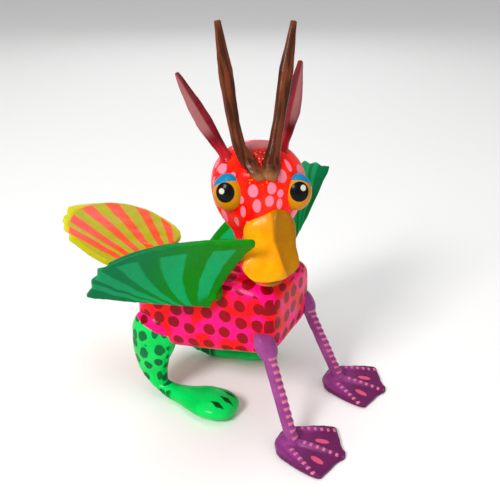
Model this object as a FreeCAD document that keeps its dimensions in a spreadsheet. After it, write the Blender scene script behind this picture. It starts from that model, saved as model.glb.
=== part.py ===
import FreeCAD, Part
import math
import os

import Sketcher

# Alebrije: a carved and painted winged creature, made of separate pieces that are pegged together.
# Frame: millimetres, +Z up, the creature faces -Y and its left side is +X. The origin is on the
# ground, under the middle of the whole figure.

doc = FreeCAD.newDocument("alebrije")
V = FreeCAD.Vector

# ---------------------------------------------------------------- driving sizes

SIZES = {
    # torso
    "torso_mid_y": -3.45,
    "torso_length": 55.6,
    "torso_width": 35.0,
    "torso_height": 32.0,
    "belly_height": 26.0,
    "shoulder_in": 5.0,
    "shoulder_drop": 7.0,
    "belly_in": 4.0,
    "belly_rise": 3.5,
    # neck and head
    "neck_from_front": 13.0,
    "stump_radius": 7.5,
    "stump_flare": 2.5,
    "stump_rise": 2.0,
    "neck_gap": 0.3,
    "neck_length": 12.0,
    "neck_top_radius": 9.0,
    "neck_dowel_radius": 2.5,
    "neck_dowel_in_torso": 13.0,
    "neck_dowel_in_head": 17.0,
    "head_over_stump": 26.0,
    "head_half_width": 15.3,
    "head_half_length": 15.8,
    "head_half_height": 15.7,
    "head_yaw": -55.0,
    "eye_half_width": 5.1,
    "eye_half_height": 6.2,
    "eye_sunk": 0.8,
    # bill
    "bill_askew": 3.0,
    "bill_length": 25.6,
    "bill_half_width": 10.0,
    # horns and ears
    "horn_length": 45.3,
    "horn_half_width": 2.5,
    "horn_half_depth": 1.9,
    "horn_root_radius": 3.3,
    "ear_length": 37.6,
    "ear_half_width": 3.1,
    "ear_half_depth": 1.1,
    "ear_root_radius": 2.4,
    "tenon_radius": 1.4,
    "horn_tenon": 7.0,
    "ear_tenon": 5.0,
    "skin_gap": 0.15,
    # wings
    "wing_chord": 35.0,
    "wing_span": 41.8,
    "wing_tip_back": 5.0,
    "wing_tip_front": 5.0,
    "wing_camber_radius": 46.0,
    "wing_thickness": 2.0,
    "wing_peg_radius": 1.9,
    "wing_peg_depth": 9.0,
    "wing_peg_rise": 20.0,
    "wing_boss_radius": 3.0,
    "wing_socket_from_front": 21.2,
    "wing_socket_below_top": 6.1,
    "wing_right_standoff": 5.5,
    "wing_left_standoff": 2.8,
    # tail
    "tail_pitch": 19.0,
    "tail_length": 40.4,
    "tail_half_width": 21.5,
    "tail_thickness": 2.6,
    "tail_peg_radius": 1.8,
    "tail_peg_depth": 9.0,
    # front legs and webbed feet
    "front_leg_radius": 2.2,
    "front_knob_radius": 4.1,
    "front_knob_in": 0.6,
    "front_knob_right_back": 1.8,
    "front_knob_left_back": 0.6,
    "front_knob_right_rise": 7.0,
    "front_knob_left_rise": 8.8,
    "front_ankle_right_x": 23.0,
    "front_ankle_left_x": 21.2,
    "front_ankle_right_reach": 10.7,
    "front_ankle_left_reach": 12.4,
    "ankle_height": 3.2,
    "foot_length": 19.2,
    "foot_half_width": 13.7,
    "foot_heel": 5.2,
    "foot_thickness": 4.6,
    "toe_thickness": 1.6,
    "foot_turn": 8.0,
    "pin_radius": 0.9,
    # rear legs
    "rear_leg_right_x": 14.4,
    "rear_leg_left_x": 16.0,
    "haunch_half_depth": 9.5,
    "haunch_half_width": 6.2,
    "hock_half_depth": 5.6,
    "paw_reach": 34.0,
    "paw_half_width": 8.6,
    "paw_height": 8.0,
    "paw_right_turn": 4.0,
    "paw_left_turn": 26.0,
    "rear_dowel_radius": 1.5,
    # running fit of what turns or pulls out
    "running_gap": 0.05,
    "socket_end_gap": 0.5,
}

sheet = doc.addObject("Spreadsheet::Sheet", "sizes")
for row, (alias, number) in enumerate(SIZES.items(), start=1):
    cell = "A%d" % row
    sheet.set(cell, str(number))
    sheet.setAlias(cell, alias)
doc.recompute()


def size(alias):
    """The number that the sheet holds under this name."""
    return float(sheet.get(alias))


def bind(thing, **expressions):
    """Bind properties to the sheet: plain names are sheet names, anything else an expression."""
    for prop, expression in expressions.items():
        thing.setExpression(prop.replace("__", "."), sheet_words(expression))


def sheet_words(expression):
    """Put the sheet's name in front of each alias of an expression."""
    words = []
    for word in str(expression).replace("(", "( ").replace(")", " )").split():
        words.append("sizes." + word if word in SIZES else word)
    return " ".join(words)


# ---------------------------------------------------------------- makers of shapes


def new(kind, name, label=None, **expressions):
    """A Part object with its sizes bound to the sheet."""
    thing = doc.addObject(kind, name)
    thing.Label = label or name
    bind(thing, **expressions)
    return thing


def solid_bool(kind, name, base, tools):
    """A Part boolean: Cut, Fuse or Common of a base and a list of tools."""
    tool = tools[0] if len(tools) == 1 else fuse(name + "_tools", tools)
    result = doc.addObject("Part::" + kind, name)
    result.Base = base
    result.Tool = tool
    return result


def fuse(name, pieces):
    """One solid of several that overlap, or one compound of several tools that do not."""
    result = doc.addObject("Part::MultiFuse", name)
    result.Shapes = pieces
    return result


def cut(name, base, *tools):
    return solid_bool("Cut", name, base, list(tools))


def axis_rotation(direction):
    """The rotation that takes +Z to a direction."""
    return FreeCAD.Rotation(V(0, 0, 1), direction)


def round_bar(name, start, end, radius, end_radius=None):
    """A bar or a cone from one point to another, its radii bound to the sheet."""
    along = end - start
    if end_radius is None:
        bar = new("Part::Cylinder", name, Radius=radius)
    else:
        bar = new("Part::Cone", name, Radius1=radius, Radius2=end_radius)
    bar.Height = along.Length
    bar.Placement = FreeCAD.Placement(start, axis_rotation(along))
    return bar


def ring(name, x, y, z, half_x, half_y, flat=True):
    """An ellipse about (x, y, z), level when flat and upright across Y otherwise."""
    wide = name_value(half_x) >= name_value(half_y)
    major, minor = (half_x, half_y) if wide else (half_y, half_x)
    ellipse = new("Part::Ellipse", name, MajorRadius=major, MinorRadius=minor)
    bind(ellipse, Placement__Base__x=x, Placement__Base__y=y, Placement__Base__z=z)
    turn = FreeCAD.Rotation(V(0, 0, 1), 0 if wide else 90)
    if not flat:
        turn = FreeCAD.Rotation(V(1, 0, 0), 90) * turn
    ellipse.Placement.Rotation = turn
    return ellipse


def name_value(expression):
    """What an expression in the sheet's words comes to."""
    probe.setExpression("Length", sheet_words(expression))
    doc.recompute([probe])
    return probe.Length.Value


probe = doc.addObject("Part::Box", "probe")


def loft(name, sections, ruled=False):
    result = doc.addObject("Part::Loft", name)
    result.Sections = sections
    result.Solid = True
    result.Ruled = ruled
    return result


def polygon_sketch(body, name, role, points, offset="0"):
    """A closed outline of straight lines in a body, each corner bound to the sheet."""
    sketch = body.newObject("Sketcher::SketchObject", name)
    plane = [part for part in body.Origin.OriginFeatures if part.Role == role][0]
    sketch.AttachmentSupport = (plane, [""])
    sketch.MapMode = "FlatFace"
    bind(sketch, AttachmentOffset__Base__z=offset)
    count = len(points)
    corners = []
    for index in range(count):
        turn = 2 * math.pi * index / count
        corners.append(V(10 * math.cos(turn), 10 * math.sin(turn), 0))
    for index in range(count):
        line = Part.LineSegment(corners[index], corners[(index + 1) % count])
        sketch.addGeometry(line, False)
    for index in range(count):
        joined = Sketcher.Constraint("Coincident", index, 2, (index + 1) % count, 1)
        sketch.addConstraint(joined)
    for index, (across, up) in enumerate(points):
        for kind, expression in (("DistanceX", across), ("DistanceY", up)):
            here = corners[index].x if kind == "DistanceX" else corners[index].y
            number = sketch.addConstraint(Sketcher.Constraint(kind, -1, 1, index, 1, here))
            sketch.setExpression("Constraints[%d]" % number, sheet_words(expression))
    return sketch


def new_body(name):
    body = doc.addObject("PartDesign::Body", name)
    body.Label = name
    return body


def pad(body, name, sketch, length, middle=False):
    feature = body.newObject("PartDesign::Pad", name)
    feature.Profile = sketch
    feature.Length = size(length)
    feature.setExpression("Length", sheet_words(length))
    feature.Midplane = middle
    return feature


def body_loft(body, name, sketches, ruled=True):
    feature = body.newObject("PartDesign::AdditiveLoft", name)
    feature.Profile = sketches[0]
    feature.Sections = sketches[1:]
    feature.Ruled = ruled
    return feature


parts = {}


def finish(node, thing):
    """Give a finished sub-part its node name."""
    thing.Label = node
    parts[node] = thing
    return thing


SIDES = (("right", -1), ("left", 1))

# ---------------------------------------------------------------- places that pieces share

torso_front = size("torso_mid_y") - size("torso_length") / 2
torso_rear = size("torso_mid_y") + size("torso_length") / 2
torso_top = size("belly_height") + size("torso_height")
neck_y = torso_front + size("neck_from_front")
stump_top = torso_top + size("stump_rise")
head_centre = V(0, neck_y, stump_top + size("head_over_stump"))
head_turn = FreeCAD.Placement(head_centre, FreeCAD.Rotation(V(0, 0, 1), size("head_yaw")))


def on_head(across, forward, up):
    """A point of the head's own frame: across to its left, forward out of its face, up."""
    return head_turn.multVec(V(across, -forward, up))


def on_face(across, forward, up, sunk=0.0):
    """The point under the head's skin in the direction given, sunk below the surface."""
    radii = (size("head_half_width"), size("head_half_length"), size("head_half_height"))
    reach = math.sqrt((across / radii[0]) ** 2 + (forward / radii[1]) ** 2 + (up / radii[2]) ** 2)
    direction = V(across, forward, up) / reach
    direction = direction * (1 - sunk / direction.Length)
    return on_head(direction.x, direction.y, direction.z)


# what lies under the ground, which trims the feet flat
ground = new("Part::Box", "ground", Length="torso_length * 6", Width="torso_length * 6",
             Height="belly_height")
ground.Placement.Base = V(-3 * size("torso_length"), -3 * size("torso_length"),
                          -size("belly_height"))

# ---------------------------------------------------------------- torso

# Each station: share of the length from the middle, half widths to the right and to the left
# as shares of the full one, and how far the belly and the back stand in there.
TORSO_STATIONS = (
    (-0.50, 0.90, 1.04, 4.5, 5.0),
    (-0.42, 0.98, 1.04, 1.6, 2.0),
    (-0.02, 1.00, 1.00, -1.6, 0.8),
    (0.38, 0.99, 0.99, -5.0, 4.6),
    (0.50, 0.86, 0.86, -1.5, 8.0),
)

torso_block = new_body("torso_block")
torso_sections = []
for number, (along, share_right, share_left, belly_up, back_down) in enumerate(TORSO_STATIONS):
    right = "torso_width * %s" % (share_right / 2)
    left = "torso_width * %s" % (share_left / 2)
    low = "belly_height + %s" % belly_up
    high = "belly_height + torso_height - %s" % back_down
    outline = [
        ("%s - belly_in" % left, low),
        (left, "%s + belly_rise" % low),
        (left, "%s - shoulder_drop" % high),
        ("%s - shoulder_in" % left, high),
        ("0 - %s + shoulder_in" % right, high),
        ("0 - %s" % right, "%s - shoulder_drop" % high),
        ("0 - %s" % right, "%s + belly_rise" % low),
        ("0 - %s + belly_in" % right, low),
    ]
    offset = "0 - torso_mid_y - torso_length * %s" % along
    name = "torso_section_%d" % number
    torso_sections.append(polygon_sketch(torso_block, name, "XZ_Plane", outline, offset))
body_loft(torso_block, "torso_loft", torso_sections)

stump = round_bar("neck_stump", V(0, neck_y, torso_top - size("stump_flare") - 3),
                  V(0, neck_y, stump_top), "stump_radius + stump_flare", "stump_radius")
torso_form = fuse("torso_form", [torso_block, stump])

# ---------------------------------------------------------------- head

head_ball = new("Part::Ellipsoid", "head_ball", Radius1="head_half_height",
                Radius2="head_half_width", Radius3="head_half_length")
head_ball.Angle1 = -90
head_ball.Placement = head_turn
neck_low = V(0, neck_y, stump_top + size("neck_gap"))
neck = round_bar("neck", neck_low, neck_low + V(0, 0, size("neck_length")),
                 "stump_radius", "neck_top_radius")
head_form = fuse("head_form", [head_ball, neck])

# the head's skin plus a small gap, which trims the roots of the pieces that pull out
head_skin = new("Part::Ellipsoid", "head_skin", Radius1="head_half_height + skin_gap",
                Radius2="head_half_width + skin_gap", Radius3="head_half_length + skin_gap")
head_skin.Angle1 = -90
head_skin.Placement = head_turn

# Directions of the eyes out of the head's centre: across, forward, up.
EYE_DIRECTIONS = {"right": (-12.4, 9.2, 1.9), "left": (12.4, 10.4, 0.9)}
eyes = {}
for side, direction in EYE_DIRECTIONS.items():
    eye = new("Part::Ellipsoid", "eye_" + side, Radius1="eye_half_height",
              Radius2="eye_half_width", Radius3="eye_half_width")
    eye.Angle1 = -90
    eye.Placement.Base = on_face(*direction, sunk=size("eye_sunk"))
    eyes[side] = finish("eye_" + side, eye)

# ---------------------------------------------------------------- bill

# Level rings of the bill in its own frame: share of its length down, place forward, half width
# as a share of the bill's, half thickness.
UPPER_BILL_RINGS = (
    (0.06, 11.0, 0.42, 4.8),
    (0.24, 12.0, 0.72, 6.2),
    (0.46, 13.6, 0.98, 5.8),
    (0.66, 17.0, 0.86, 4.4),
    (0.86, 20.8, 1.00, 3.4),
    (1.00, 22.6, 0.62, 1.8),
)
LOWER_BILL_RINGS = (
    (0.42, 11.5, 0.62, 3.0),
    (0.66, 14.2, 0.66, 2.6),
    (0.86, 17.6, 0.76, 2.4),
    (0.97, 19.6, 0.44, 1.4),
)
bill_turn = FreeCAD.Placement(head_centre, FreeCAD.Rotation(
    V(0, 0, 1), size("head_yaw") + size("bill_askew")))


def bill_form(name, rings):
    sections = []
    for number, (down, forward, width_share, half_thick) in enumerate(rings):
        section = ring("%s_ring_%d" % (name, number), "0", "0 - %s" % forward,
                       "0 - bill_length * %s" % down,
                       "bill_half_width * %s" % width_share, str(half_thick))
        sections.append(section)
    form = loft(name, sections)
    form.Placement = bill_turn
    return form


upper_form = bill_form("upper_bill_form", UPPER_BILL_RINGS)
lower_form = bill_form("lower_bill_form", LOWER_BILL_RINGS)
upper_bill = cut("upper_bill", upper_form, head_form)
lower_bill = cut("lower_bill", lower_form, head_form, upper_form)
finish("upper_bill", upper_bill)
finish("lower_bill", lower_bill)

# ---------------------------------------------------------------- horns and ears

# Each blade: where its root meets the head and where its tip points, both across, forward, up
# from the head's centre.
HORNS = {
    "horn_right": ((-6.2, 9.6, 11.6), (-13.3, 0.9, 55.2)),
    "horn_left": ((2.6, 10.6, 11.7), (11.4, -1.8, 52.3)),
}
EARS = {
    "ear_right": ((-11.2, 3.2, 11.4), (-24.0, -21.0, 33.8)),
    "ear_left": ((7.4, 2.8, 13.4), (20.0, -24.5, 38.0)),
}
# Stations of a blade: share of its length, half width and half depth as shares of the full ones.
HORN_STATIONS = ((0.12, 0.72, 0.80), (0.30, 0.78, 0.85), (0.66, 1.00, 1.00), (1.00, 0.42, 0.40))
EAR_STATIONS = ((0.10, 0.66, 1.60), (0.42, 1.00, 1.00), (0.75, 0.72, 0.80), (1.00, 0.30, 0.60))
ROOT_BELOW = 3.5
TENON_ABOVE = 1.8


def blade(node, kind, stations, root, tip):
    """A four-sided blade with a round tenon, on the head and trimmed to its skin."""
    seat = on_face(*root)
    axis = (on_head(*tip) - seat).normalize()
    wide = head_turn.Rotation.multVec(V(1, 0, 0))
    turn = FreeCAD.Rotation(wide, V(0, 0, 0), axis, "ZXY")
    body = new_body(node + "_blade")
    root_size = kind + "_root_radius"
    sketches = [polygon_sketch(body, node + "_root", "XY_Plane", diamond(root_size, root_size),
                               "0 - %s" % ROOT_BELOW)]
    for number, (along, width_share, depth_share) in enumerate(stations):
        corners = diamond("%s_half_width * %s" % (kind, width_share),
                          "%s_half_depth * %s" % (kind, depth_share))
        sketches.append(polygon_sketch(body, "%s_section_%d" % (node, number), "XY_Plane",
                                       corners, "%s_length * %s" % (kind, along)))
    body_loft(body, node + "_loft", sketches)
    body.Placement = FreeCAD.Placement(seat, turn)
    trimmed = cut(node + "_trimmed", body, head_skin)
    tenon_end = seat - axis * size(kind + "_tenon")
    tenon = round_bar(node + "_tenon", tenon_end, seat + axis * TENON_ABOVE, "tenon_radius")
    socket = round_bar(node + "_socket", tenon_end - axis * size("socket_end_gap"),
                       seat + axis * ROOT_BELOW, "tenon_radius + running_gap")
    return finish(node, fuse(node, [trimmed, tenon])), socket, axis, seat


def diamond(half_width, half_depth):
    """A blade's section: pointed edges left and right, blunt ridges front and back."""
    flat = "%s * 0.45" % half_width
    return [
        (half_width, "0"),
        (flat, half_depth),
        ("0 - %s" % flat, half_depth),
        ("0 - %s" % half_width, "0"),
        ("0 - %s" % flat, "0 - %s" % half_depth),
        (flat, "0 - %s" % half_depth),
    ]


blade_sockets = []
pull_axes = {}
for kind, stations, blades in (("horn", HORN_STATIONS, HORNS), ("ear", EAR_STATIONS, EARS)):
    for node, (root, tip) in blades.items():
        piece, socket, axis, seat = blade(node, kind, stations, root, tip)
        blade_sockets.append(socket)
        pull_axes[node] = axis

# ---------------------------------------------------------------- neck dowel, head and its bores

dowel_low = V(0, neck_y, stump_top - size("neck_dowel_in_torso"))
dowel_high = V(0, neck_y, neck_low.z + size("neck_dowel_in_head"))
neck_dowel = finish("neck_dowel", round_bar("neck_dowel", dowel_low, dowel_high,
                                            "neck_dowel_radius"))
head_bore = round_bar("head_bore", V(0, neck_y, stump_top),
                      dowel_high + V(0, 0, size("socket_end_gap")),
                      "neck_dowel_radius + running_gap")
head = cut("head", head_form, head_bore, eyes["right"], eyes["left"], *blade_sockets)
finish("head", head)

# ---------------------------------------------------------------- wings

# The wing board in its own frame: X from the root's low corner along the root edge, Y out along
# the span, Z the hollow side. It is one board shape, used twice, glued on its peg at two angles.
WING_ATTITUDES = {
    "right": {"root": V(-0.085, -0.562, 0.823), "span": V(-0.641, 0.663, 0.386),
              "peg_at": V(5.0, 2.6, 0)},
    "left": {"root": V(0.040, 0.998, -0.056), "span": V(0.731, 0.009, 0.682),
             "peg_at": V(10.4, 2.6, 0)},
}

# Corners of the outline: chord and span places.
WING_OUTLINE = [
    ("0", "0"),
    ("wing_chord * 0.5", "0 - 0.6"),
    ("wing_chord - 1.5", "0"),
    ("wing_chord", "1.5"),
    ("wing_chord * 0.84", "wing_span * 0.25"),
    ("wing_chord * 0.62", "wing_span * 0.53"),
    ("wing_chord * 0.40", "wing_span * 0.77"),
    ("wing_tip_front + 2.2", "wing_span * 0.93"),
    ("wing_tip_front + 0.4", "wing_span * 0.935"),
    ("wing_tip_front - 1.4", "wing_span * 0.985"),
    ("wing_tip_front - 3.6", "wing_span * 0.97"),
    ("0", "wing_span"),
    ("0 - wing_tip_back * 0.45", "wing_span * 0.98"),
    ("0 - wing_tip_back", "wing_span"),
    ("0 - wing_tip_back * 0.92", "wing_span * 0.85"),
    ("0 - wing_tip_back * 0.55", "wing_span * 0.45"),
]


def camber_drop(chord_place):
    """How far the hollow face lies below the edges, at a place along the chord."""
    radius = size("wing_camber_radius")
    reach = size("wing_chord") / 2
    centre_height = math.sqrt(radius ** 2 - reach ** 2)
    return math.sqrt(radius ** 2 - (chord_place - reach) ** 2) - centre_height


def camber_roll(name, extra):
    """The round bar, along the span, whose side bends the board."""
    reach = size("wing_chord") / 2
    roll = new("Part::Cylinder", name, Radius="wing_camber_radius + %s" % extra,
               Height="wing_span * 2")
    height = math.sqrt(size("wing_camber_radius") ** 2 - reach ** 2)
    roll.Placement = FreeCAD.Placement(V(reach, -size("wing_span") / 2, height),
                                       FreeCAD.Rotation(V(1, 0, 0), -90))
    return roll


wing_bodies = {}
for side, sign in SIDES:
    attitude = WING_ATTITUDES[side]
    turn = FreeCAD.Rotation(attitude["root"], attitude["span"], V(0, 0, 0), "XYZ")
    outline_body = new_body("wing_%s_outline" % side)
    outline = polygon_sketch(outline_body, "wing_%s_edge" % side, "XY_Plane", WING_OUTLINE)
    pad(outline_body, "wing_%s_pad" % side, outline, "wing_chord", middle=True)
    shell = cut("wing_%s_shell" % side, camber_roll("wing_%s_back" % side, "wing_thickness"),
                camber_roll("wing_%s_hollow" % side, "0"))
    board = solid_bool("Common", "wing_%s_board" % side, outline_body, [shell])

    rise = math.radians(size("wing_peg_rise"))
    outward = V(sign * math.cos(rise), 0, math.sin(rise))
    mouth = V(sign * size("torso_width") / 2, torso_front + size("wing_socket_from_front"),
              torso_top - size("wing_socket_below_top"))
    meet = mouth + outward * size("wing_%s_standoff" % side)
    peg_at = attitude["peg_at"]
    on_board = V(peg_at.x, peg_at.y, -camber_drop(peg_at.x) - size("wing_thickness") / 2)
    board.Placement = FreeCAD.Placement(meet - turn.multVec(on_board), turn)

    inner = mouth - outward * size("wing_peg_depth")
    peg_end = meet - outward * (size("wing_thickness") / 2)
    boss = round_bar("wing_%s_boss" % side, mouth + outward * 0.6, meet, "wing_boss_radius")
    peg = round_bar("wing_peg_" + side, inner, peg_end, "wing_peg_radius")
    socket = round_bar("wing_socket_" + side, inner - outward * size("socket_end_gap"),
                       mouth + outward * 4, "wing_peg_radius + running_gap")
    wing_solid = cut("wing_" + side, fuse("wing_%s_form" % side, [board, boss]), peg)
    finish("wing_" + side, wing_solid)
    finish("wing_peg_" + side, peg)
    wing_bodies[side] = {"socket": socket, "mouth": mouth, "outward": outward}

# ---------------------------------------------------------------- tail fan

TAIL_OUTLINE = [
    ("0 - 4", "0"),
    ("0 - tail_half_width * 0.70", "tail_length * 0.10"),
    ("0 - tail_half_width * 0.93", "tail_length * 0.24"),
    ("0 - tail_half_width * 0.86", "tail_length * 0.62"),
    ("0 - tail_half_width * 0.80", "tail_length * 0.70"),
    ("0 - tail_half_width * 0.68", "tail_length * 0.74"),
    ("0 - tail_half_width * 0.66", "tail_length * 0.83"),
    ("0 - tail_half_width * 0.52", "tail_length * 0.86"),
    ("0 - tail_half_width * 0.40", "tail_length * 0.93"),
    ("0 - tail_half_width * 0.24", "tail_length * 0.95"),
    ("0 - tail_half_width * 0.10", "tail_length"),
    ("tail_half_width * 0.40", "tail_length * 0.87"),
    ("tail_half_width * 0.82", "tail_length * 0.72"),
    ("tail_half_width * 1.00", "tail_length * 0.55"),
    ("tail_half_width * 1.06", "tail_length * 0.36"),
    ("tail_half_width * 1.02", "tail_length * 0.18"),
    ("tail_half_width * 0.78", "tail_length * 0.03"),
    ("4", "0"),
]
TAIL_ROOT_Z = 6.6
TAIL_CLEAR = 2.0

tail_pitch = math.radians(size("tail_pitch"))
tail_along = V(0, math.cos(tail_pitch), math.sin(tail_pitch))
tail_mouth = V(0, torso_rear - 2.0, torso_top - TAIL_ROOT_Z)
tail_start = tail_mouth + tail_along * TAIL_CLEAR
tail_board = new_body("tail_board")
tail_edge = polygon_sketch(tail_board, "tail_edge", "XY_Plane", TAIL_OUTLINE)
pad(tail_board, "tail_pad", tail_edge, "tail_thickness", middle=True)
tail_board.Placement = FreeCAD.Placement(tail_start, FreeCAD.Rotation(V(1, 0, 0),
                                                                      size("tail_pitch")))
tail_knuckle = round_bar("tail_knuckle", tail_mouth + tail_along * 2.2,
                         tail_start + tail_along * 9, "tail_peg_radius + 1.4", "1.4")
tail_peg = round_bar("tail_peg", tail_mouth - tail_along * size("tail_peg_depth"),
                     tail_start + tail_along * 1.5, "tail_peg_radius")
tail_socket = round_bar("tail_socket",
                        tail_mouth - tail_along * (size("tail_peg_depth")
                                                   + size("socket_end_gap")),
                        tail_mouth + tail_along * 4, "tail_peg_radius + running_gap")
tail_fan = cut("tail_fan", fuse("tail_form", [tail_board, tail_knuckle]), tail_peg)
finish("tail_fan", tail_fan)
finish("tail_peg", tail_peg)

# ---------------------------------------------------------------- front legs and webbed feet

# Level rings of a front leg: share of the way down from the knob to the ankle, radius.
FRONT_LEG_RINGS = (
    (-0.20, "front_knob_radius * 0.45"),
    (-0.10, "front_knob_radius * 0.92"),
    (0.06, "front_knob_radius"),
    (0.20, "front_leg_radius * 1.12"),
    (0.60, "front_leg_radius"),
    (1.00, "front_leg_radius * 0.96"),
)
# Outline of a webbed foot about the ankle: across, forward, in shares of width and length.
FOOT_OUTLINE = [
    ("0 - foot_half_width * 0.22", "foot_heel * 0.96"),
    ("foot_half_width * 0.22", "foot_heel * 0.96"),
    ("foot_half_width * 0.50", "foot_heel * 0.55"),
    ("foot_half_width * 0.66", "0 - foot_length * 0.04"),
    ("foot_half_width * 0.85", "0 - foot_length * 0.30"),
    ("foot_half_width", "0 - foot_length * 0.63"),
    ("foot_half_width * 0.97", "0 - foot_length * 0.71"),
    ("foot_half_width * 0.57", "0 - foot_length * 0.83"),
    ("foot_half_width * 0.10", "0 - foot_length"),
    ("0 - foot_half_width * 0.10", "0 - foot_length"),
    ("0 - foot_half_width * 0.57", "0 - foot_length * 0.83"),
    ("0 - foot_half_width * 0.97", "0 - foot_length * 0.71"),
    ("0 - foot_half_width", "0 - foot_length * 0.63"),
    ("0 - foot_half_width * 0.85", "0 - foot_length * 0.30"),
    ("0 - foot_half_width * 0.66", "0 - foot_length * 0.04"),
    ("0 - foot_half_width * 0.50", "foot_heel * 0.55"),
]
TOE_TIPS = ((-0.86, 0.66), (0.0, 0.94), (0.86, 0.66))

front_leg_pins = []
for side, sign in SIDES:
    knob = V(sign * (size("torso_width") / 2 - size("front_knob_in")),
             torso_front + size("front_knob_%s_back" % side),
             size("belly_height") + size("front_knob_%s_rise" % side))
    ankle = V(sign * size("front_ankle_%s_x" % side),
              torso_front - size("front_ankle_%s_reach" % side), size("ankle_height"))
    down = ankle - knob
    rings = []
    for number, (share, radius) in enumerate(FRONT_LEG_RINGS):
        centre = knob + down * share
        section = new("Part::Circle", "front_leg_%s_ring_%d" % (side, number), Radius=radius)
        section.Placement.Base = centre
        rings.append(section)
    leg_form = loft("front_leg_%s_form" % side, rings, ruled=True)

    inward = V(-sign * 1.0, 0.9, 0.25).normalize()
    pin = round_bar("front_leg_pin_" + side, knob - inward * 1.6, knob + inward * 8.0,
                    "pin_radius")
    foot_pin = round_bar("foot_pin_" + side, ankle - V(0, 0, 1.8), ankle - down.normalize() * 6.0,
                         "pin_radius")
    finish("front_leg_pin_" + side, pin)
    finish("foot_pin_" + side, foot_pin)

    foot_block = new_body("front_foot_%s_block" % side)
    outline = polygon_sketch(foot_block, "front_foot_%s_outline" % side, "XY_Plane",
                             FOOT_OUTLINE)
    pad(foot_block, "front_foot_%s_pad" % side, outline, "foot_thickness")
    slope = polygon_sketch(foot_block, "front_foot_%s_slope" % side, "YZ_Plane", [
        ("0 - foot_length * 1.2", "toe_thickness - 0.2"),
        ("0 - foot_length", "toe_thickness"),
        ("0 - foot_length * 0.28", "ankle_height"),
        ("foot_heel * 0.5", "ankle_height"),
        ("foot_heel * 1.2", "ankle_height * 0.7"),
        ("foot_heel * 1.2", "foot_thickness * 2"),
        ("0 - foot_length * 1.2", "foot_thickness * 2"),
    ])
    pocket = foot_block.newObject("PartDesign::Pocket", "front_foot_%s_top" % side)
    pocket.Profile = slope
    pocket.Midplane = True
    pocket.Length = 4 * size("foot_half_width")
    pocket.setExpression("Length", sheet_words("foot_half_width * 4"))
    foot_turn = FreeCAD.Placement(V(ankle.x, ankle.y, 0),
                                  FreeCAD.Rotation(V(0, 0, 1), size("foot_turn")))
    foot_block.Placement = foot_turn
    ridges = []
    for number, (across, forward) in enumerate(TOE_TIPS):
        tip = V(across * size("foot_half_width"), -forward * size("foot_length"),
                size("toe_thickness") - 0.4)
        heel = V(0, 0, size("ankle_height") - 1.2)
        ridges.append(round_bar("front_foot_%s_toe_%d" % (side, number),
                                foot_turn.multVec(heel), foot_turn.multVec(tip), "1.9", "1.0"))
    foot_form = fuse("front_foot_%s_form" % side, [foot_block] + ridges)
    foot = cut("front_foot_" + side, foot_form, ground, foot_pin)
    finish("front_foot_" + side, foot)
    leg = cut("front_leg_" + side, leg_form, torso_form, foot_form, pin, foot_pin)
    finish("front_leg_" + side, leg)
    front_leg_pins.append(pin)

# ---------------------------------------------------------------- rear legs

# Level rings of the haunch: height, place behind the hip line, half width and half depth.
HAUNCH_RINGS = (
    ("belly_height + 9", "0 - 1.0", "haunch_half_width * 0.5", "haunch_half_depth * 0.55"),
    ("belly_height + 3", "0 - 1.2", "haunch_half_width * 0.95", "haunch_half_depth * 0.95"),
    ("belly_height - 4", "0 - 1.8", "haunch_half_width", "haunch_half_depth"),
    ("belly_height - 9", "0", "haunch_half_width * 0.85", "haunch_half_depth * 0.8"),
    ("belly_height - 15", "0.8", "haunch_half_width * 0.7", "hock_half_depth * 1.06"),
    ("5", "0 - 0.6", "haunch_half_width * 0.66", "hock_half_depth * 0.94"),
    ("0", "0 - 2.4", "haunch_half_width * 0.5", "hock_half_depth * 0.64"),
)
# Upright rings of the paw: share of its reach forward of the hock, half width, half height.
PAW_RINGS = (
    (-0.06, "1.9", "paw_height * 0.36"),
    (0.20, "3.3", "paw_height * 0.34"),
    (0.38, "paw_half_width * 0.55", "paw_height * 0.39"),
    (0.54, "paw_half_width * 0.88", "paw_height * 0.46"),
    (0.72, "paw_half_width", "paw_height * 0.52"),
    (0.88, "paw_half_width * 0.94", "paw_height * 0.52"),
    (1.00, "paw_half_width * 0.68", "paw_height * 0.34"),
)

HIP_FROM_REAR = 4.8
HOCK_FROM_REAR = 6.8
PAW_SUNK = 0.6

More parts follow.
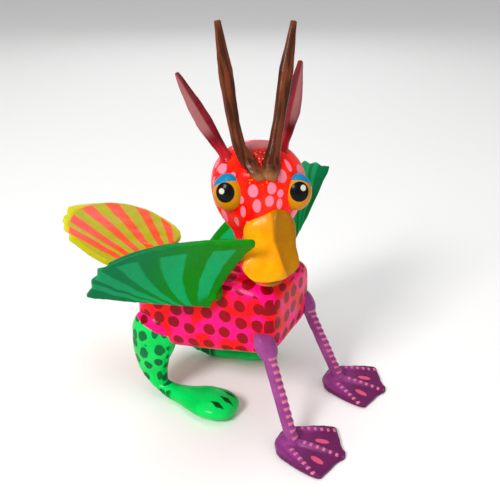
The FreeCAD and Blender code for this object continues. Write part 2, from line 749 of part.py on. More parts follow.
rear_dowels = []
hip_y = torso_rear - HIP_FROM_REAR
for side, sign in SIDES:
    levels = []
    for number, (height, behind, half_width, half_depth) in enumerate(HAUNCH_RINGS):
        levels.append(ring("rear_leg_%s_level_%d" % (side, number),
                           "%d * rear_leg_%s_x" % (sign, side),
                           "torso_mid_y + torso_length / 2 - %s + %s" % (HIP_FROM_REAR, behind),
                           height, half_width, half_depth))
    haunch = loft("rear_leg_%s_haunch" % side, levels)
    uprights = []
    for number, (share, half_width, half_height) in enumerate(PAW_RINGS):
        uprights.append(ring("rear_leg_%s_upright_%d" % (side, number),
                             "%d * rear_leg_%s_x" % (sign, side),
                             "torso_mid_y + torso_length / 2 - %s - paw_reach * %s"
                             % (HOCK_FROM_REAR, share),
                             "%s - %s" % (half_height, PAW_SUNK), half_width, half_height,
                             flat=False))
    paw = loft("rear_leg_%s_paw" % side, uprights, ruled=True)
    leg_x = sign * size("rear_leg_%s_x" % side)
    hock = V(leg_x, torso_rear - HOCK_FROM_REAR, 0)
    paw.Placement = FreeCAD.Placement(V(0, 0, 0), FreeCAD.Rotation(
        V(0, 0, 1), sign * size("paw_%s_turn" % side)), hock)
    leg_form = fuse("rear_leg_%s_form" % side, [haunch, paw])
    hip = V(leg_x, hip_y - 1.5, size("belly_height") - 5)
    dowel = round_bar("rear_leg_dowel_" + side, hip, hip + V(-sign * 1.5, 0, 14),
                      "rear_dowel_radius")
    finish("rear_leg_dowel_" + side, dowel)
    rear_leg = cut("rear_leg_" + side, leg_form, torso_form, ground, dowel)
    finish("rear_leg_" + side, rear_leg)
    rear_dowels.append(dowel)

# ---------------------------------------------------------------- torso with its bores

torso = cut("torso", torso_form, neck_dowel, tail_socket, wing_bodies["right"]["socket"],
            wing_bodies["left"]["socket"], *front_leg_pins, *rear_dowels)
finish("torso", torso)

# ---------------------------------------------------------------- check and write

doc.removeObject(probe.Name)
doc.recompute()
for thing in doc.Objects:
    if "Invalid" in thing.State or "Error" in thing.State:
        raise RuntimeError("%s did not build: %s" % (thing.Label, thing.State))
for node, thing in parts.items():
    if thing.Shape.isNull() or not thing.Shape.isValid():
        raise RuntimeError("%s has no valid shape" % node)

os.makedirs("parts", exist_ok=True)
whole = Part.makeCompound([thing.Shape for thing in parts.values()])
box = whole.optimalBoundingBox(False)
for node, thing in parts.items():
    thing.Shape.exportStep("parts/%s.step" % node)
    count = len(thing.Shape.Solids)
    print("%-22s solids %d volume %9.1f" % (node, count, thing.Shape.Volume))
print("box x %.2f %.2f  y %.2f %.2f  z %.2f %.2f" % (
    box.XMin, box.XMax, box.YMin, box.YMax, box.ZMin, box.ZMax))
for node, axis in pull_axes.items():
    print("pull axis %-12s %.4f %.4f %.4f" % (node, axis.x, axis.y, axis.z))
for side, spot in wing_bodies.items():
    mouth = spot["mouth"]
    print("wing %-6s mouth %.2f %.2f %.2f" % (side, mouth.x, mouth.y, mouth.z))
print("neck axis y %.3f, collar z %.3f" % (neck_y, stump_top))
print("tail mouth %.3f %.3f %.3f" % (tail_mouth.x, tail_mouth.y, tail_mouth.z))
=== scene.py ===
from functools import partialmethod
import math
from math import radians

import bpy
from mathutils import Matrix, Vector


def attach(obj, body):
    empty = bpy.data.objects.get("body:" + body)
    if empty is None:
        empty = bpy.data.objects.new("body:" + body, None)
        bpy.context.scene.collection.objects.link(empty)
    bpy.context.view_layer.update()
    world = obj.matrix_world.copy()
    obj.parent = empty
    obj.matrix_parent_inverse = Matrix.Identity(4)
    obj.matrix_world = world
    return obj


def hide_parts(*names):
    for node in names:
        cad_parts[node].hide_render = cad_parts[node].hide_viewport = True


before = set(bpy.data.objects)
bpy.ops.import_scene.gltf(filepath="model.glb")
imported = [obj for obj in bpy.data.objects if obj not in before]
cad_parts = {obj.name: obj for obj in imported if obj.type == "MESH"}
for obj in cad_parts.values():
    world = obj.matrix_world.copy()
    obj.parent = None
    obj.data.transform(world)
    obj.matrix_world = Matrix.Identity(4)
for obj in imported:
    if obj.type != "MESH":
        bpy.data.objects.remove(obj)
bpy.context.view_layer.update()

# A carved and painted winged creature. The camera comes first, then the tools for shaping and for
# mixing paint, then the pieces from the body outwards. Lengths are in millimetres until they
# reach Blender, which takes metres.

MM = 0.001
scene = bpy.context.scene


def metres(*lengths):
    """A point or a size in millimetres, as a vector in metres."""
    return Vector(lengths) * MM


# -------- camera, lights and world

LOOK_AT = metres(13.0, -9.15, 54.8)
CAMERA_AZIMUTH = radians(-65.0)
CAMERA_ELEVATION = radians(24.35)
CAMERA_DISTANCE = 285.4 * MM

camera_data = bpy.data.cameras.new("camera")
camera_data.lens = 54.36
camera_data.sensor_width = 36.0
camera_data.clip_start = 0.01
camera = bpy.data.objects.new("camera", camera_data)
scene.collection.objects.link(camera)
towards_camera = Vector((
    math.sin(CAMERA_AZIMUTH) * math.cos(CAMERA_ELEVATION),
    -math.cos(CAMERA_AZIMUTH) * math.cos(CAMERA_ELEVATION),
    math.sin(CAMERA_ELEVATION),
))
camera.location = LOOK_AT + towards_camera * CAMERA_DISTANCE
camera.rotation_euler = towards_camera.to_track_quat("Z", "Y").to_euler()
scene.camera = camera
scene.view_settings.view_transform = "Standard"


def softbox(name, place, size, power, tint=(1.0, 1.0, 1.0)):
    """A square area light that faces the middle of the figure."""
    lamp = bpy.data.lights.new(name, "AREA")
    lamp.size = size
    lamp.energy = power
    lamp.color = tint
    light = bpy.data.objects.new(name, lamp)
    light.location = place
    light.rotation_euler = (Vector(place) - LOOK_AT).to_track_quat("Z", "Y").to_euler()
    scene.collection.objects.link(light)


softbox("key_light", (-0.72, 0.12, 0.62), 0.26, 6.2, (1.0, 0.985, 0.96))
softbox("front_fill", (-0.30, -0.85, 0.35), 0.50, 0.6)
softbox("top_light", (0.05, 0.10, 0.95), 0.60, 2.6)
softbox("far_rim", (0.70, 0.35, 0.45), 0.40, 0.8)

world = bpy.data.worlds.new("studio")
world.use_nodes = True
world.node_tree.nodes["Background"].inputs["Color"].default_value = (1.0, 1.0, 1.0, 1.0)
world.node_tree.nodes["Background"].inputs["Strength"].default_value = 0.46
scene.world = world

# -------- shaping tools


def pick_none():
    """Leave nothing selected, so that an operator acts only on what is new."""
    if bpy.context.mode != "OBJECT":
        bpy.ops.object.mode_set(mode="OBJECT")
    bpy.ops.object.select_all(action="DESELECT")


def only(piece):
    """Select one object and make it the active one."""
    pick_none()
    piece.select_set(True)
    bpy.context.view_layer.objects.active = piece


def edit(piece):
    """Open one object for editing, with nothing in it selected."""
    only(piece)
    bpy.ops.object.mode_set(mode="EDIT")
    bpy.ops.mesh.select_all(action="DESELECT")


def select_where(piece, kind, test):
    """In edit mode, select the vertices, edges or faces that pass a test on their own data."""
    bpy.ops.object.mode_set(mode="OBJECT")
    mesh = piece.data
    for items in (mesh.vertices, mesh.edges, mesh.polygons):
        items.foreach_set("select", [False] * len(items))
    for item in getattr(mesh, kind):
        item.select = test(item)
    bpy.ops.object.mode_set(mode="EDIT")
    modes = {"vertices": "VERT", "edges": "EDGE", "polygons": "FACE"}
    bpy.ops.mesh.select_mode(type=modes[kind])


def close():
    """Leave edit mode."""
    bpy.ops.object.mode_set(mode="OBJECT")


def face_outwards():
    """Turn every face of the open piece outwards and leave edit mode."""
    bpy.ops.mesh.select_all(action="SELECT")
    bpy.ops.mesh.normals_make_consistent(inside=False)
    close()


def slice_off(piece, point, normal, **side):
    """Cut a piece at a plane, clear one side of it and close the cut."""
    edit(piece)
    bpy.ops.mesh.select_all(action="SELECT")
    bpy.ops.mesh.bisect(plane_co=point, plane_no=normal, use_fill=True, **side)
    close()


def shade(piece, sharp_above=None):
    """Shade a piece smooth, and leave edges sharp above an angle in degrees if one is given."""
    only(piece)
    if sharp_above is None:
        bpy.ops.object.shade_smooth()
    else:
        bpy.ops.object.shade_smooth_by_angle(angle=radians(sharp_above))


def grow(name, rings, sides=12, block=0.0, swell=True, facet=1.0):
    """A closed form drawn upwards ring by ring.

    A ring is (x, y, z, half across, half deep) in millimetres, with an optional tilt about X in
    degrees. A block share above 0 starts from a rectangle with corners rounded by that share.
    Rings that are to be subdivided are swollen, so that the smooth skin has the given size. A
    facet share below 1 flattens both flanks of the front, so that a ridge stands between them."""
    pick_none()
    if swell and not block:
        fuller = 3 / (2 + math.cos(2 * math.pi / sides))
        rings = [(*ring[:3], ring[3] * fuller, ring[4] * fuller, *ring[5:]) for ring in rings]
    x, y, z, across, deep = rings[0][:5]
    if block:
        bpy.ops.mesh.primitive_plane_add(size=2, location=(0, 0, 0))
        piece = bpy.context.object
        edit(piece)
        bpy.ops.mesh.select_all(action="SELECT")
        bpy.ops.mesh.bevel(offset=block, segments=3, affect="VERTICES")
    else:
        bpy.ops.mesh.primitive_circle_add(vertices=sides, radius=1, fill_type="NGON",
                                          location=(0, 0, 0))
        piece = bpy.context.object
        edit(piece)
        if facet < 1:
            select_where(piece, "vertices", lambda v: v.co.y > 0.1 and abs(v.co.x) > 0.2)
            bpy.ops.transform.resize(value=(1, facet, 1), center_override=(0, 0, 0))
        bpy.ops.mesh.select_mode(type="FACE")
        bpy.ops.mesh.select_all(action="SELECT")
    piece.name = name
    bpy.ops.transform.resize(value=(across * MM, deep * MM, 1), center_override=(0, 0, 0))
    centre = metres(x, y, z)
    bpy.ops.transform.translate(value=centre)
    tilt = 0.0
    if len(rings[0]) > 5:
        tilt = rings[0][5]
        turn_ring(tilt, centre)
    for ring in rings[1:]:
        new_centre = metres(*ring[:3])
        bpy.ops.mesh.extrude_region_move(
            TRANSFORM_OT_translate={"value": new_centre - centre})
        centre = new_centre
        if tilt:
            turn_ring(-tilt, centre)
        bpy.ops.transform.resize(value=(ring[3] / across, ring[4] / deep, 1),
                                 center_override=centre)
        across, deep = ring[3:5]
        tilt = ring[5] if len(ring) > 5 else 0.0
        if tilt:
            turn_ring(tilt, centre)
    face_outwards()
    return piece


def turn_ring(degrees, centre):
    """Tilt the selected ring about X; without a window the operator turns the other way."""
    bpy.ops.transform.rotate(value=-radians(degrees), orient_axis="X",
                             center_override=centre)


def apply(piece, kind, **settings):
    """Add a modifier, set it and apply it."""
    only(piece)
    modifier = piece.modifiers.new(kind.lower(), kind)
    for setting, value in settings.items():
        setattr(modifier, setting, value)
    bpy.ops.object.modifier_apply(modifier=modifier.name)


def combine(piece, tool, operation="UNION"):
    """Join a tool to a piece, or with DIFFERENCE cut it out; the tool is used up."""
    apply(piece, "BOOLEAN", operation=operation, object=tool, solver="EXACT")
    bpy.data.objects.remove(tool)


def smooth_skin(piece, levels=2):
    """Round a coarse form with subdivision and shade it smooth."""
    apply(piece, "SUBSURF", levels=levels, render_levels=levels)
    shade(piece)


def carve(piece, depth, size):
    """Uneven the skin a little, as a knife and sandpaper leave it."""
    cloud = bpy.data.textures.new(piece.name + "_knife", "CLOUDS")
    cloud.noise_scale = size * MM
    cloud.noise_depth = 1
    apply(piece, "DISPLACE", texture=cloud, texture_coords="LOCAL", strength=depth * MM,
          mid_level=0.5)


def place(piece, matrix):
    """Put a piece that was shaped at the origin in its place, and leave the place in its mesh."""
    only(piece)
    piece.matrix_world = matrix
    bpy.ops.object.transform_apply(location=True, rotation=True, scale=True)
    edit(piece)
    face_outwards()


def merge(pieces, name):
    """Join pieces that overlap into one object."""
    only(pieces[0])
    for piece in pieces[1:]:
        piece.select_set(True)
    bpy.ops.object.join()
    pieces[0].name = name
    return pieces[0]


def reskin(piece, grain, rounds):
    """One even skin over all that a piece is made of, with its edges softened."""
    apply(piece, "REMESH", mode="VOXEL", voxel_size=grain * MM)
    apply(piece, "SMOOTH", factor=0.5, iterations=rounds)
    shade(piece)


def aimed(start, along):
    """The frame at a point in millimetres with its Z axis along a direction."""
    return Matrix.Translation(start * MM) @ along.to_track_quat("Z", "Y").to_matrix().to_4x4()


def bore(piece, start, along, length, radius):
    """Drill a round hole, from a point outwards along a direction."""
    pick_none()
    middle = start + along * (length / 2)
    bpy.ops.mesh.primitive_cylinder_add(vertices=32, radius=radius * MM, depth=length * MM,
                                        location=middle * MM,
                                        rotation=along.to_track_quat("Z", "Y").to_euler())
    combine(piece, bpy.context.object, "DIFFERENCE")


def outline_board(name, corners, thickness):
    """A flat board with the outline given in millimetres, in the XY plane."""
    curve = bpy.data.curves.new(name, "CURVE")
    curve.dimensions = "2D"
    curve.fill_mode = "BOTH"
    curve.extrude = thickness / 2 * MM
    spline = curve.splines.new("POLY")
    spline.points.add(len(corners) - 1)
    for point, (x, y) in zip(spline.points, corners):
        point.co = (x * MM, y * MM, 0, 1)
    spline.use_cyclic_u = True
    board = bpy.data.objects.new(name, curve)
    scene.collection.objects.link(board)
    only(board)
    bpy.ops.object.convert(target="MESH")
    edit(board)
    bpy.ops.mesh.select_all(action="SELECT")
    bpy.ops.mesh.remove_doubles(threshold=0.01 * MM)
    face_outwards()
    return board


def stand_for(piece, body, node, material):
    """Give a finished piece its paint and its body, and hide the node that it stands for."""
    piece.data.materials.clear()
    piece.data.materials.append(material)
    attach(piece, body)
    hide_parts(node)


# -------- paint tools


def linear(red, green, blue):
    """A colour from a paint chart, 0 to 255, as linear light."""
    def channel(value):
        share = value / 255
        return share / 12.92 if share <= 0.04045 else ((share + 0.055) / 1.055) ** 2.4
    return (channel(red), channel(green), channel(blue), 1.0)


SPECULAR_LEVEL = 0.08
COAT_AT_FULL_VARNISH = 0.11
COAT_ROUGHNESS = 0.10
OVAL_EDGE = (1.07, 0.90)
# how strongly bristle marks, uneven patches and bare ground show in the colour
BRISTLE_TONE, PATCH_TONE, GROUND_TONE = 0.22, 0.20, 0.80
# roughness, least and added by patches
LEAST_ROUGH, PATCH_ROUGH = 0.20, 0.22
# relief of bristle marks, lumps of paint and painted marks
BRISTLE_RELIEF, LUMP_RELIEF, MARK_RELIEF, BUMP_STRENGTH = 0.35, 1.6, 0.45, 0.55


class Paint:
    """One painted and varnished finish, mixed node by node."""

    def __init__(self, name, varnish=0.6, grain=0.12):
        self.material = bpy.data.materials.new(name)
        self.material.use_nodes = True
        self.nodes = self.material.node_tree.nodes
        self.links = self.material.node_tree.links
        self.shader = self.nodes["Principled BSDF"]
        self.shader.inputs["Specular IOR Level"].default_value = SPECULAR_LEVEL
        self.shader.inputs["Coat Weight"].default_value = varnish * COAT_AT_FULL_VARNISH
        self.shader.inputs["Coat Roughness"].default_value = COAT_ROUGHNESS
        self.grain = grain
        coordinates = self.nodes.new("ShaderNodeTexCoord")
        self.here = coordinates.outputs["Object"]
        self.facing = coordinates.outputs["Normal"]

    def feed(self, socket, thing):
        if isinstance(thing, bpy.types.NodeSocket):
            self.links.new(thing, socket)
        elif thing is not None:
            socket.default_value = thing

    def maths(self, operation, first, second=None, third=None):
        node = self.nodes.new("ShaderNodeMath")
        node.operation = operation
        for socket, thing in zip(node.inputs, (first, second, third)):
            self.feed(socket, thing)
        return node.outputs[0]

    scaled = partialmethod(maths, "MULTIPLY_ADD")
    plus = partialmethod(maths, "ADD")
    less = partialmethod(maths, "SUBTRACT")
    over = partialmethod(maths, "DIVIDE")
    size = partialmethod(maths, "ABSOLUTE")

    def times(self, first, *rest):
        """The product of shares: a mark shows only where all of them do."""
        for thing in rest:
            first = self.maths("MULTIPLY", first, thing)
        return first

    def most(self, first, *rest):
        """The greatest of shares: a mark shows where any of them does."""
        for thing in rest:
            first = self.maths("MAXIMUM", first, thing)
        return first

    def vector(self, operation, first, second=None):
        node = self.nodes.new("ShaderNodeVectorMath")
        node.operation = operation
        self.feed(node.inputs[0], first)
        if operation == "SCALE":
            self.feed(node.inputs["Scale"], second)
        else:
            self.feed(node.inputs[1], second)
        out = "Value" if operation in ("LENGTH", "DOT_PRODUCT") else "Vector"
        return node.outputs[out]

    def split(self, vector):
        node = self.nodes.new("ShaderNodeSeparateXYZ")
        self.feed(node.inputs[0], vector)
        return node.outputs[0], node.outputs[1], node.outputs[2]

    def join(self, x, y, z):
        node = self.nodes.new("ShaderNodeCombineXYZ")
        for socket, thing in zip(node.inputs, (x, y, z)):
            self.feed(socket, thing)
        return node.outputs[0]

    def mix(self, share, under, over, blend="MIX"):
        node = self.nodes.new("ShaderNodeMix")
        node.data_type = "RGBA"
        node.blend_type = blend
        self.feed(node.inputs["Factor"], share)
        self.feed(node.inputs[6], under)
        self.feed(node.inputs[7], over)
        return node.outputs[2]

    def ramp(self, value, low, high):
        """0 below low, 1 above high, even between; low above high turns it round."""
        node = self.nodes.new("ShaderNodeMapRange")
        node.interpolation_type = "SMOOTHSTEP"
        self.feed(node.inputs["Value"], value)
        for name, end in zip(("From Min", "From Max", "To Min", "To Max"),
                             (low, high, 0.0, 1.0) if low < high else (high, low, 1.0, 0.0)):
            node.inputs[name].default_value = end
        return node.outputs["Result"]

    def rise(self, length, low, high):
        """The same ramp over a length, with its ends in millimetres."""
        return self.ramp(length, low * MM, high * MM)

    def frame_of(self, matrix, vector=None, turn_only=False):
        """A point, or a direction, in the frame of a piece."""
        node = self.nodes.new("ShaderNodeMapping")
        node.vector_type = "TEXTURE"
        self.feed(node.inputs["Vector"], self.here if vector is None else vector)
        if not turn_only:
            node.inputs["Location"].default_value = matrix.to_translation()
        node.inputs["Rotation"].default_value = matrix.to_euler()
        return node.outputs["Vector"]

    def noise(self, vector, size, detail=2.0, stretch=None, out=0):
        """Soft uneven grey from 0 to 1, with lumps of a size in millimetres."""
        node = self.nodes.new("ShaderNodeTexNoise")
        if stretch:
            vector = self.vector("MULTIPLY", vector, stretch)
        self.feed(node.inputs["Vector"], vector)
        node.inputs["Scale"].default_value = 1.0 / (size * MM)
        node.inputs["Detail"].default_value = detail
        return node.outputs[out]

    def wobble(self, vector, size, reach):
        """The same place, shifted a little by an uneven hand."""
        shift = self.vector("SUBTRACT", self.noise(vector, size, 1.0, out="Color"),
                            (0.5, 0.5, 0.5))
        return self.vector("ADD", vector, self.vector("SCALE", shift, reach * MM))

    def dabs(self, vector, facing, pitch, start, radius, jitter, soft=0.04):
        """Round dabs of a brush in loose rows; pitch and start in millimetres, radius a share."""
        cells = self.vector("DIVIDE", self.vector("SUBTRACT", vector, metres(*start)),
                            metres(*pitch))
        node = self.nodes.new("ShaderNodeTexVoronoi")
        self.feed(node.inputs["Vector"], cells)
        node.inputs["Scale"].default_value = 1.0
        node.inputs["Randomness"].default_value = jitter
        away = self.vector("SUBTRACT", node.outputs["Position"], cells)
        depth = self.vector("DOT_PRODUCT", away, facing)
        flat = self.vector("SUBTRACT", away, self.vector("SCALE", facing, depth))
        return self.ramp(self.vector("LENGTH", flat), radius + soft, radius - soft)

    def ovals(self, across, along, places):
        """Single dabs at places given as across, along, half wide, half long, in millimetres,
        with an optional lean in radians."""
        marks = []
        for place_across, place_along, wide, long, *lean in places:
            a = self.less(across, place_across * MM)
            b = self.less(along, place_along * MM)
            if lean:
                cos, sin = math.cos(lean[0]), math.sin(lean[0])
                a, b = (self.scaled(a, cos, self.times(b, -sin)),
                        self.scaled(a, sin, self.times(b, cos)))
            flat = self.join(self.over(a, wide * MM), self.over(b, long * MM), 0.0)
            marks.append(self.ramp(self.vector("LENGTH", flat), *OVAL_EDGE))
        return self.most(*marks)

    def bands(self, value, spans, soft):
        """Stripes where a value lies inside one of the spans."""
        return self.most(*[self.times(self.ramp(value, low * (1 - soft), low * (1 + soft)),
                                      self.ramp(value, high * (1 + soft), high * (1 - soft)))
                           for low, high in spans])

    def finish(self, colour, relief=None, streak=(1.0, 1.0, 1.0)):
        """Brush marks, an uneven varnish and the relief of thick paint."""
        bristles = self.noise(self.here, 0.9, 3.0, streak)
        patches = self.noise(self.here, 7.0, 2.0)
        tone = self.scaled(bristles, BRISTLE_TONE, GROUND_TONE)
        tone = self.scaled(patches, PATCH_TONE, self.less(tone, 0.02))
        self.feed(self.shader.inputs["Base Color"], self.mix(1.0, colour, tone, "MULTIPLY"))
        rough = self.scaled(patches, PATCH_ROUGH, LEAST_ROUGH)
        self.feed(self.shader.inputs["Roughness"], rough)
        lumps = self.noise(self.here, 3.2, 2.0)
        height = self.times(bristles, BRISTLE_RELIEF)
        height = self.scaled(lumps, LUMP_RELIEF, height)
        if relief is not None:
            height = self.scaled(relief, MARK_RELIEF, height)
        bump = self.nodes.new("ShaderNodeBump")
        bump.inputs["Strength"].default_value = BUMP_STRENGTH
        bump.inputs["Distance"].default_value = self.grain * MM
        self.feed(bump.inputs["Height"], height)
        self.feed(self.shader.inputs["Normal"], bump.outputs["Normal"])
        self.feed(self.shader.inputs["Coat Normal"], bump.outputs["Normal"])
        return self.material


# -------- floor

pick_none()
bpy.ops.mesh.primitive_plane_add(size=12.0, location=(0, 0, -0.0004))
floor = bpy.context.object
floor.name = "floor"
floor_material = bpy.data.materials.new("pale_floor")
floor_material.use_nodes = True
floor_shader = floor_material.node_tree.nodes["Principled BSDF"]
floor_shader.inputs["Base Color"].default_value = (0.92, 0.92, 0.92, 1.0)
floor_shader.inputs["Roughness"].default_value = 0.7
floor.data.materials.append(floor_material)

# -------- colours

HOT_PINK = linear(255, 10, 120)
SCARLET = linear(248, 8, 20)
DRIED_BLOOD = linear(120, 0, 18)
BLOSSOM = linear(246, 128, 152)
MAROON_PATCH = linear(165, 0, 5)
LEAF = linear(0, 126, 0)
MINT = linear(0, 158, 88)
DEEP_TEAL = linear(0, 108, 62)
OLIVE = linear(178, 170, 0)
SALMON = linear(248, 92, 78)
TANGERINE = linear(245, 78, 15)
PLUM = linear(128, 42, 108)
LILAC = linear(165, 82, 150)
DASH_PINK = linear(212, 112, 146)
OVAL_PINK = linear(214, 84, 120)
SPRING_GREEN = linear(0, 214, 92)
BOTTLE_GREEN = linear(0, 105, 50)
TOE_GREEN = linear(0, 72, 22)
AMBER = linear(240, 162, 0)
OCHRE = linear(150, 105, 12)
MOUTH_PINK = linear(240, 70, 70)
COCOA = linear(108, 52, 28)
UMBER = linear(62, 28, 14)
SAND = linear(150, 98, 58)
WINE = linear(118, 6, 24)
DUSTY_ROSE = linear(158, 98, 98)
LID_BLUE = linear(0, 125, 172)
GOLD = linear(214, 146, 0)
BLACK = linear(8, 8, 8)
CHALK = linear(205, 206, 190)
BARE_WOOD = linear(212, 178, 128)

# -------- torso

TORSO_RINGS = (
    # y, x centre, z centre, half width, half height
    (-32.1, 1.6, 42.0, 13.2, 8.2), (-31.3, 1.3, 41.8, 16.4, 10.9), (-28.6, 0.9, 41.8, 17.6, 13.2),
    (-22.0, 0.5, 41.7, 18.0, 14.8), (-10.0, 0.2, 41.2, 17.9, 16.2), (4.0, 0.0, 39.8, 17.8, 16.9),
    (15.0, 0.0, 37.8, 17.6, 16.6), (21.5, 0.0, 37.0, 16.6, 14.8), (24.6, 0.0, 37.0, 14.2, 11.6),
    (25.2, 0.0, 37.2, 10.5, 8.4),
)
ALONG_BODY = Matrix.Rotation(radians(-90), 4, "X")
NECK_Y = -18.25
torso = grow("torso_body", [(x, -z, y, width, height) for y, x, z, width, height in TORSO_RINGS],
             block=0.42)
place(torso, ALONG_BODY)
smooth_skin(torso, 2)
stump = grow("stump", [(0, NECK_Y, 50.0, 10.5, 10.5), (0, NECK_Y, 55.5, 10.2, 10.2),
                       (0, NECK_Y, 57.8, 8.8, 8.8), (0, NECK_Y, 59.6, 7.6, 7.6),
                       (0, NECK_Y, 60.0, 7.3, 7.3)], sides=16)
smooth_skin(stump, 2)
combine(torso, stump)
carve(torso, 0.7, 11)
TAIL_PITCH = radians(19)
TAIL_ALONG = Vector((0, math.cos(TAIL_PITCH), math.sin(TAIL_PITCH)))
TAIL_MOUTH = Vector((0, 22.35, 51.4))
TAIL_HOLE_DEPTH = 9.5
TAIL_HOLE_RADIUS = 1.9
bore(torso, TAIL_MOUTH - TAIL_ALONG * TAIL_HOLE_DEPTH, TAIL_ALONG, 20, TAIL_HOLE_RADIUS)

# pitch, start, radius and jitter of the dark spots on the body
BODY_SPOTS = ((6.9, 6.7, 6.6), (0.0, -34.5, 54.1), 0.345, 0.30)

paint = Paint("torso_paint", varnish=0.7)
hand = paint.wobble(paint.here, 5.0, 1.1)
blots = paint.ramp(paint.noise(paint.here, 8.5, 1.0), 0.44, 0.56)
ground = paint.mix(blots, HOT_PINK, SCARLET)
spots = paint.dabs(hand, paint.facing, *BODY_SPOTS)
dark = paint.mix(paint.noise(paint.here, 3.0), DRIED_BLOOD, linear(165, 0, 18))
stand_for(torso, "torso", "torso",
          paint.finish(paint.mix(spots, ground, dark), spots))

# -------- head

HEAD_CENTRE = metres(0, NECK_Y, 86.0)
HEAD_YAW = radians(-55)
HEAD_FRAME = Matrix.Translation(HEAD_CENTRE) @ Matrix.Rotation(HEAD_YAW, 4, "Z")


def on_head(across, forward, up):
    """A point of the head's frame, in millimetres, as a place in the world in metres."""
    return HEAD_FRAME @ metres(across, -forward, up)


HEAD_RINGS = (
    # up from the head's centre, forward, half across, half deep
    (-25.7, 0.0, 7.0, 7.0), (-25.2, 0.0, 7.5, 7.5), (-20.0, 0.0, 7.7, 7.7),
    (-16.0, 0.3, 8.8, 9.0), (-13.0, 0.5, 10.8, 11.2), (-9.0, 0.4, 13.6, 14.0),
    (-4.0, 0.0, 15.6, 15.7), (1.0, -0.2, 16.3, 16.2), (6.0, -0.2, 15.8, 15.7),
    (10.0, 0.1, 13.6, 14.1), (13.4, 0.2, 9.4, 10.1), (15.2, 0.2, 4.0, 4.4),
)
head = grow("head_skull", [(0, -forward, up, across, deep)
                           for up, forward, across, deep in HEAD_RINGS], sides=16)
smooth_skin(head, 2)
place(head, HEAD_FRAME)
carve(head, 0.5, 8)

HEAD_PETALS = (
    # around the head and up, half wide and half tall, in millimetres; seen from the front
    (-18.3, 8.7, 2.6, 1.6), (-4.5, 3.7, 1.7, 2.1), (-3.3, -1.4, 1.4, 2.4), (-7.9, -3.9, 1.0, 2.1),
    (-8.4, 0.4, 0.9, 1.4), (-10.9, -8.2, 0.9, 1.9), (-16.6, -7.3, 1.8, 2.4), (1.6, 4.5, 1.5, 2.0),
    (0.9, 0.2, 1.5, 1.9), (4.6, 2.3, 1.2, 1.4), (4.3, -1.2, 1.0, 1.8), (5.8, 7.6, 1.9, 2.0),
    (16.1, 7.6, 2.4, 1.6), (10.2, 10.1, 1.2, 1.8), (11.9, -7.9, 2.6, 3.0), (-12.1, 8.0, 1.1, 0.9),
    (17.5, -2.5, 2.0, 2.6), (-6.5, -9.0, 0.8, 1.8),
)
HEAD_GIRTH = 15.6

paint = Paint("head_paint", varnish=0.8)
local = paint.frame_of(HEAD_FRAME)
facing = paint.frame_of(HEAD_FRAME, paint.facing, turn_only=True)
across, behind, up = paint.split(paint.wobble(local, 3.5, 0.7))
warm = paint.ramp(paint.noise(paint.here, 6.0), 0.35, 0.70)
ground = paint.mix(warm, linear(255, 10, 0), linear(252, 44, 8))
crown = paint.times(paint.rise(up, 9.0, 11.0), paint.rise(paint.size(across), 4.6, 3.8),
                    paint.rise(behind, 3.0, 1.5))
around = paint.times(HEAD_GIRTH * MM, paint.maths("ARCTAN2", across, paint.times(behind, -1.0)))
petals = paint.ovals(around, up, HEAD_PETALS)
hand = paint.wobble(local, 4.0, 1.2)
rest = paint.dabs(hand, facing, (5.6, 5.6, 7.0), (0.0, -0.6, 1.5), 0.30, 0.42)
rest = paint.times(rest, paint.rise(paint.size(around), 20.5, 21.0))
petals = paint.times(paint.most(petals, rest), paint.less(1.0, crown))
crumbs = paint.dabs(paint.wobble(local, 2.0, 1.0), facing, (1.7, 1.7, 1.6), (0.0, 0.0, 0.0),
                    0.17, 0.9)
crumbs = paint.times(crumbs, paint.rise(paint.size(around), 6.5, 5.5),
                     paint.rise(up, 5.2, 6.2), paint.rise(behind, -6.0, -8.0))
ground = paint.mix(crumbs, paint.mix(crown, ground, MAROON_PATCH), linear(255, 120, 20))
colour = paint.mix(petals, ground, BLOSSOM)
HEAD_PAINT = paint.finish(colour, petals)

# -------- eyes

EYES = {
    # direction out of the head, then pupil, dot and lid directions and the lid's height
    "right": ((-11.7, 9.9, 1.9), (-0.946, -0.174, 0.274), (-0.93, 0.034, 0.365),
              (0.391, 0.345, 0.853), 0.36),
    "left": ((11.6, 11.3, 0.9), (-0.779, -0.54, 0.318), (-0.532, -0.651, 0.542),
             (0.629, 0.263, 0.731), 0.225),
}
HEAD_RADII = (15.3, 15.8, 15.7)
EYE_SUNK = 0.2
EYE_RADII = metres(5.1, 5.1, 6.2)
LID_THICK = 0.22
# cosines of the angles at which the pupil's and the white dot's edges lie
PUPIL_EDGE = (0.785, 0.805)
DOT_EDGE = (0.978, 0.988)


def on_face(across, forward, up, sunk=0.0):
    """The place under the head's skin in a direction, sunk below it, in metres."""
    reach = math.sqrt(sum((part / radius) ** 2
                          for part, radius in zip((across, forward, up), HEAD_RADII)))
    direction = Vector((across, forward, up)) / reach
    direction *= 1 - sunk / direction.length
    return on_head(*direction)


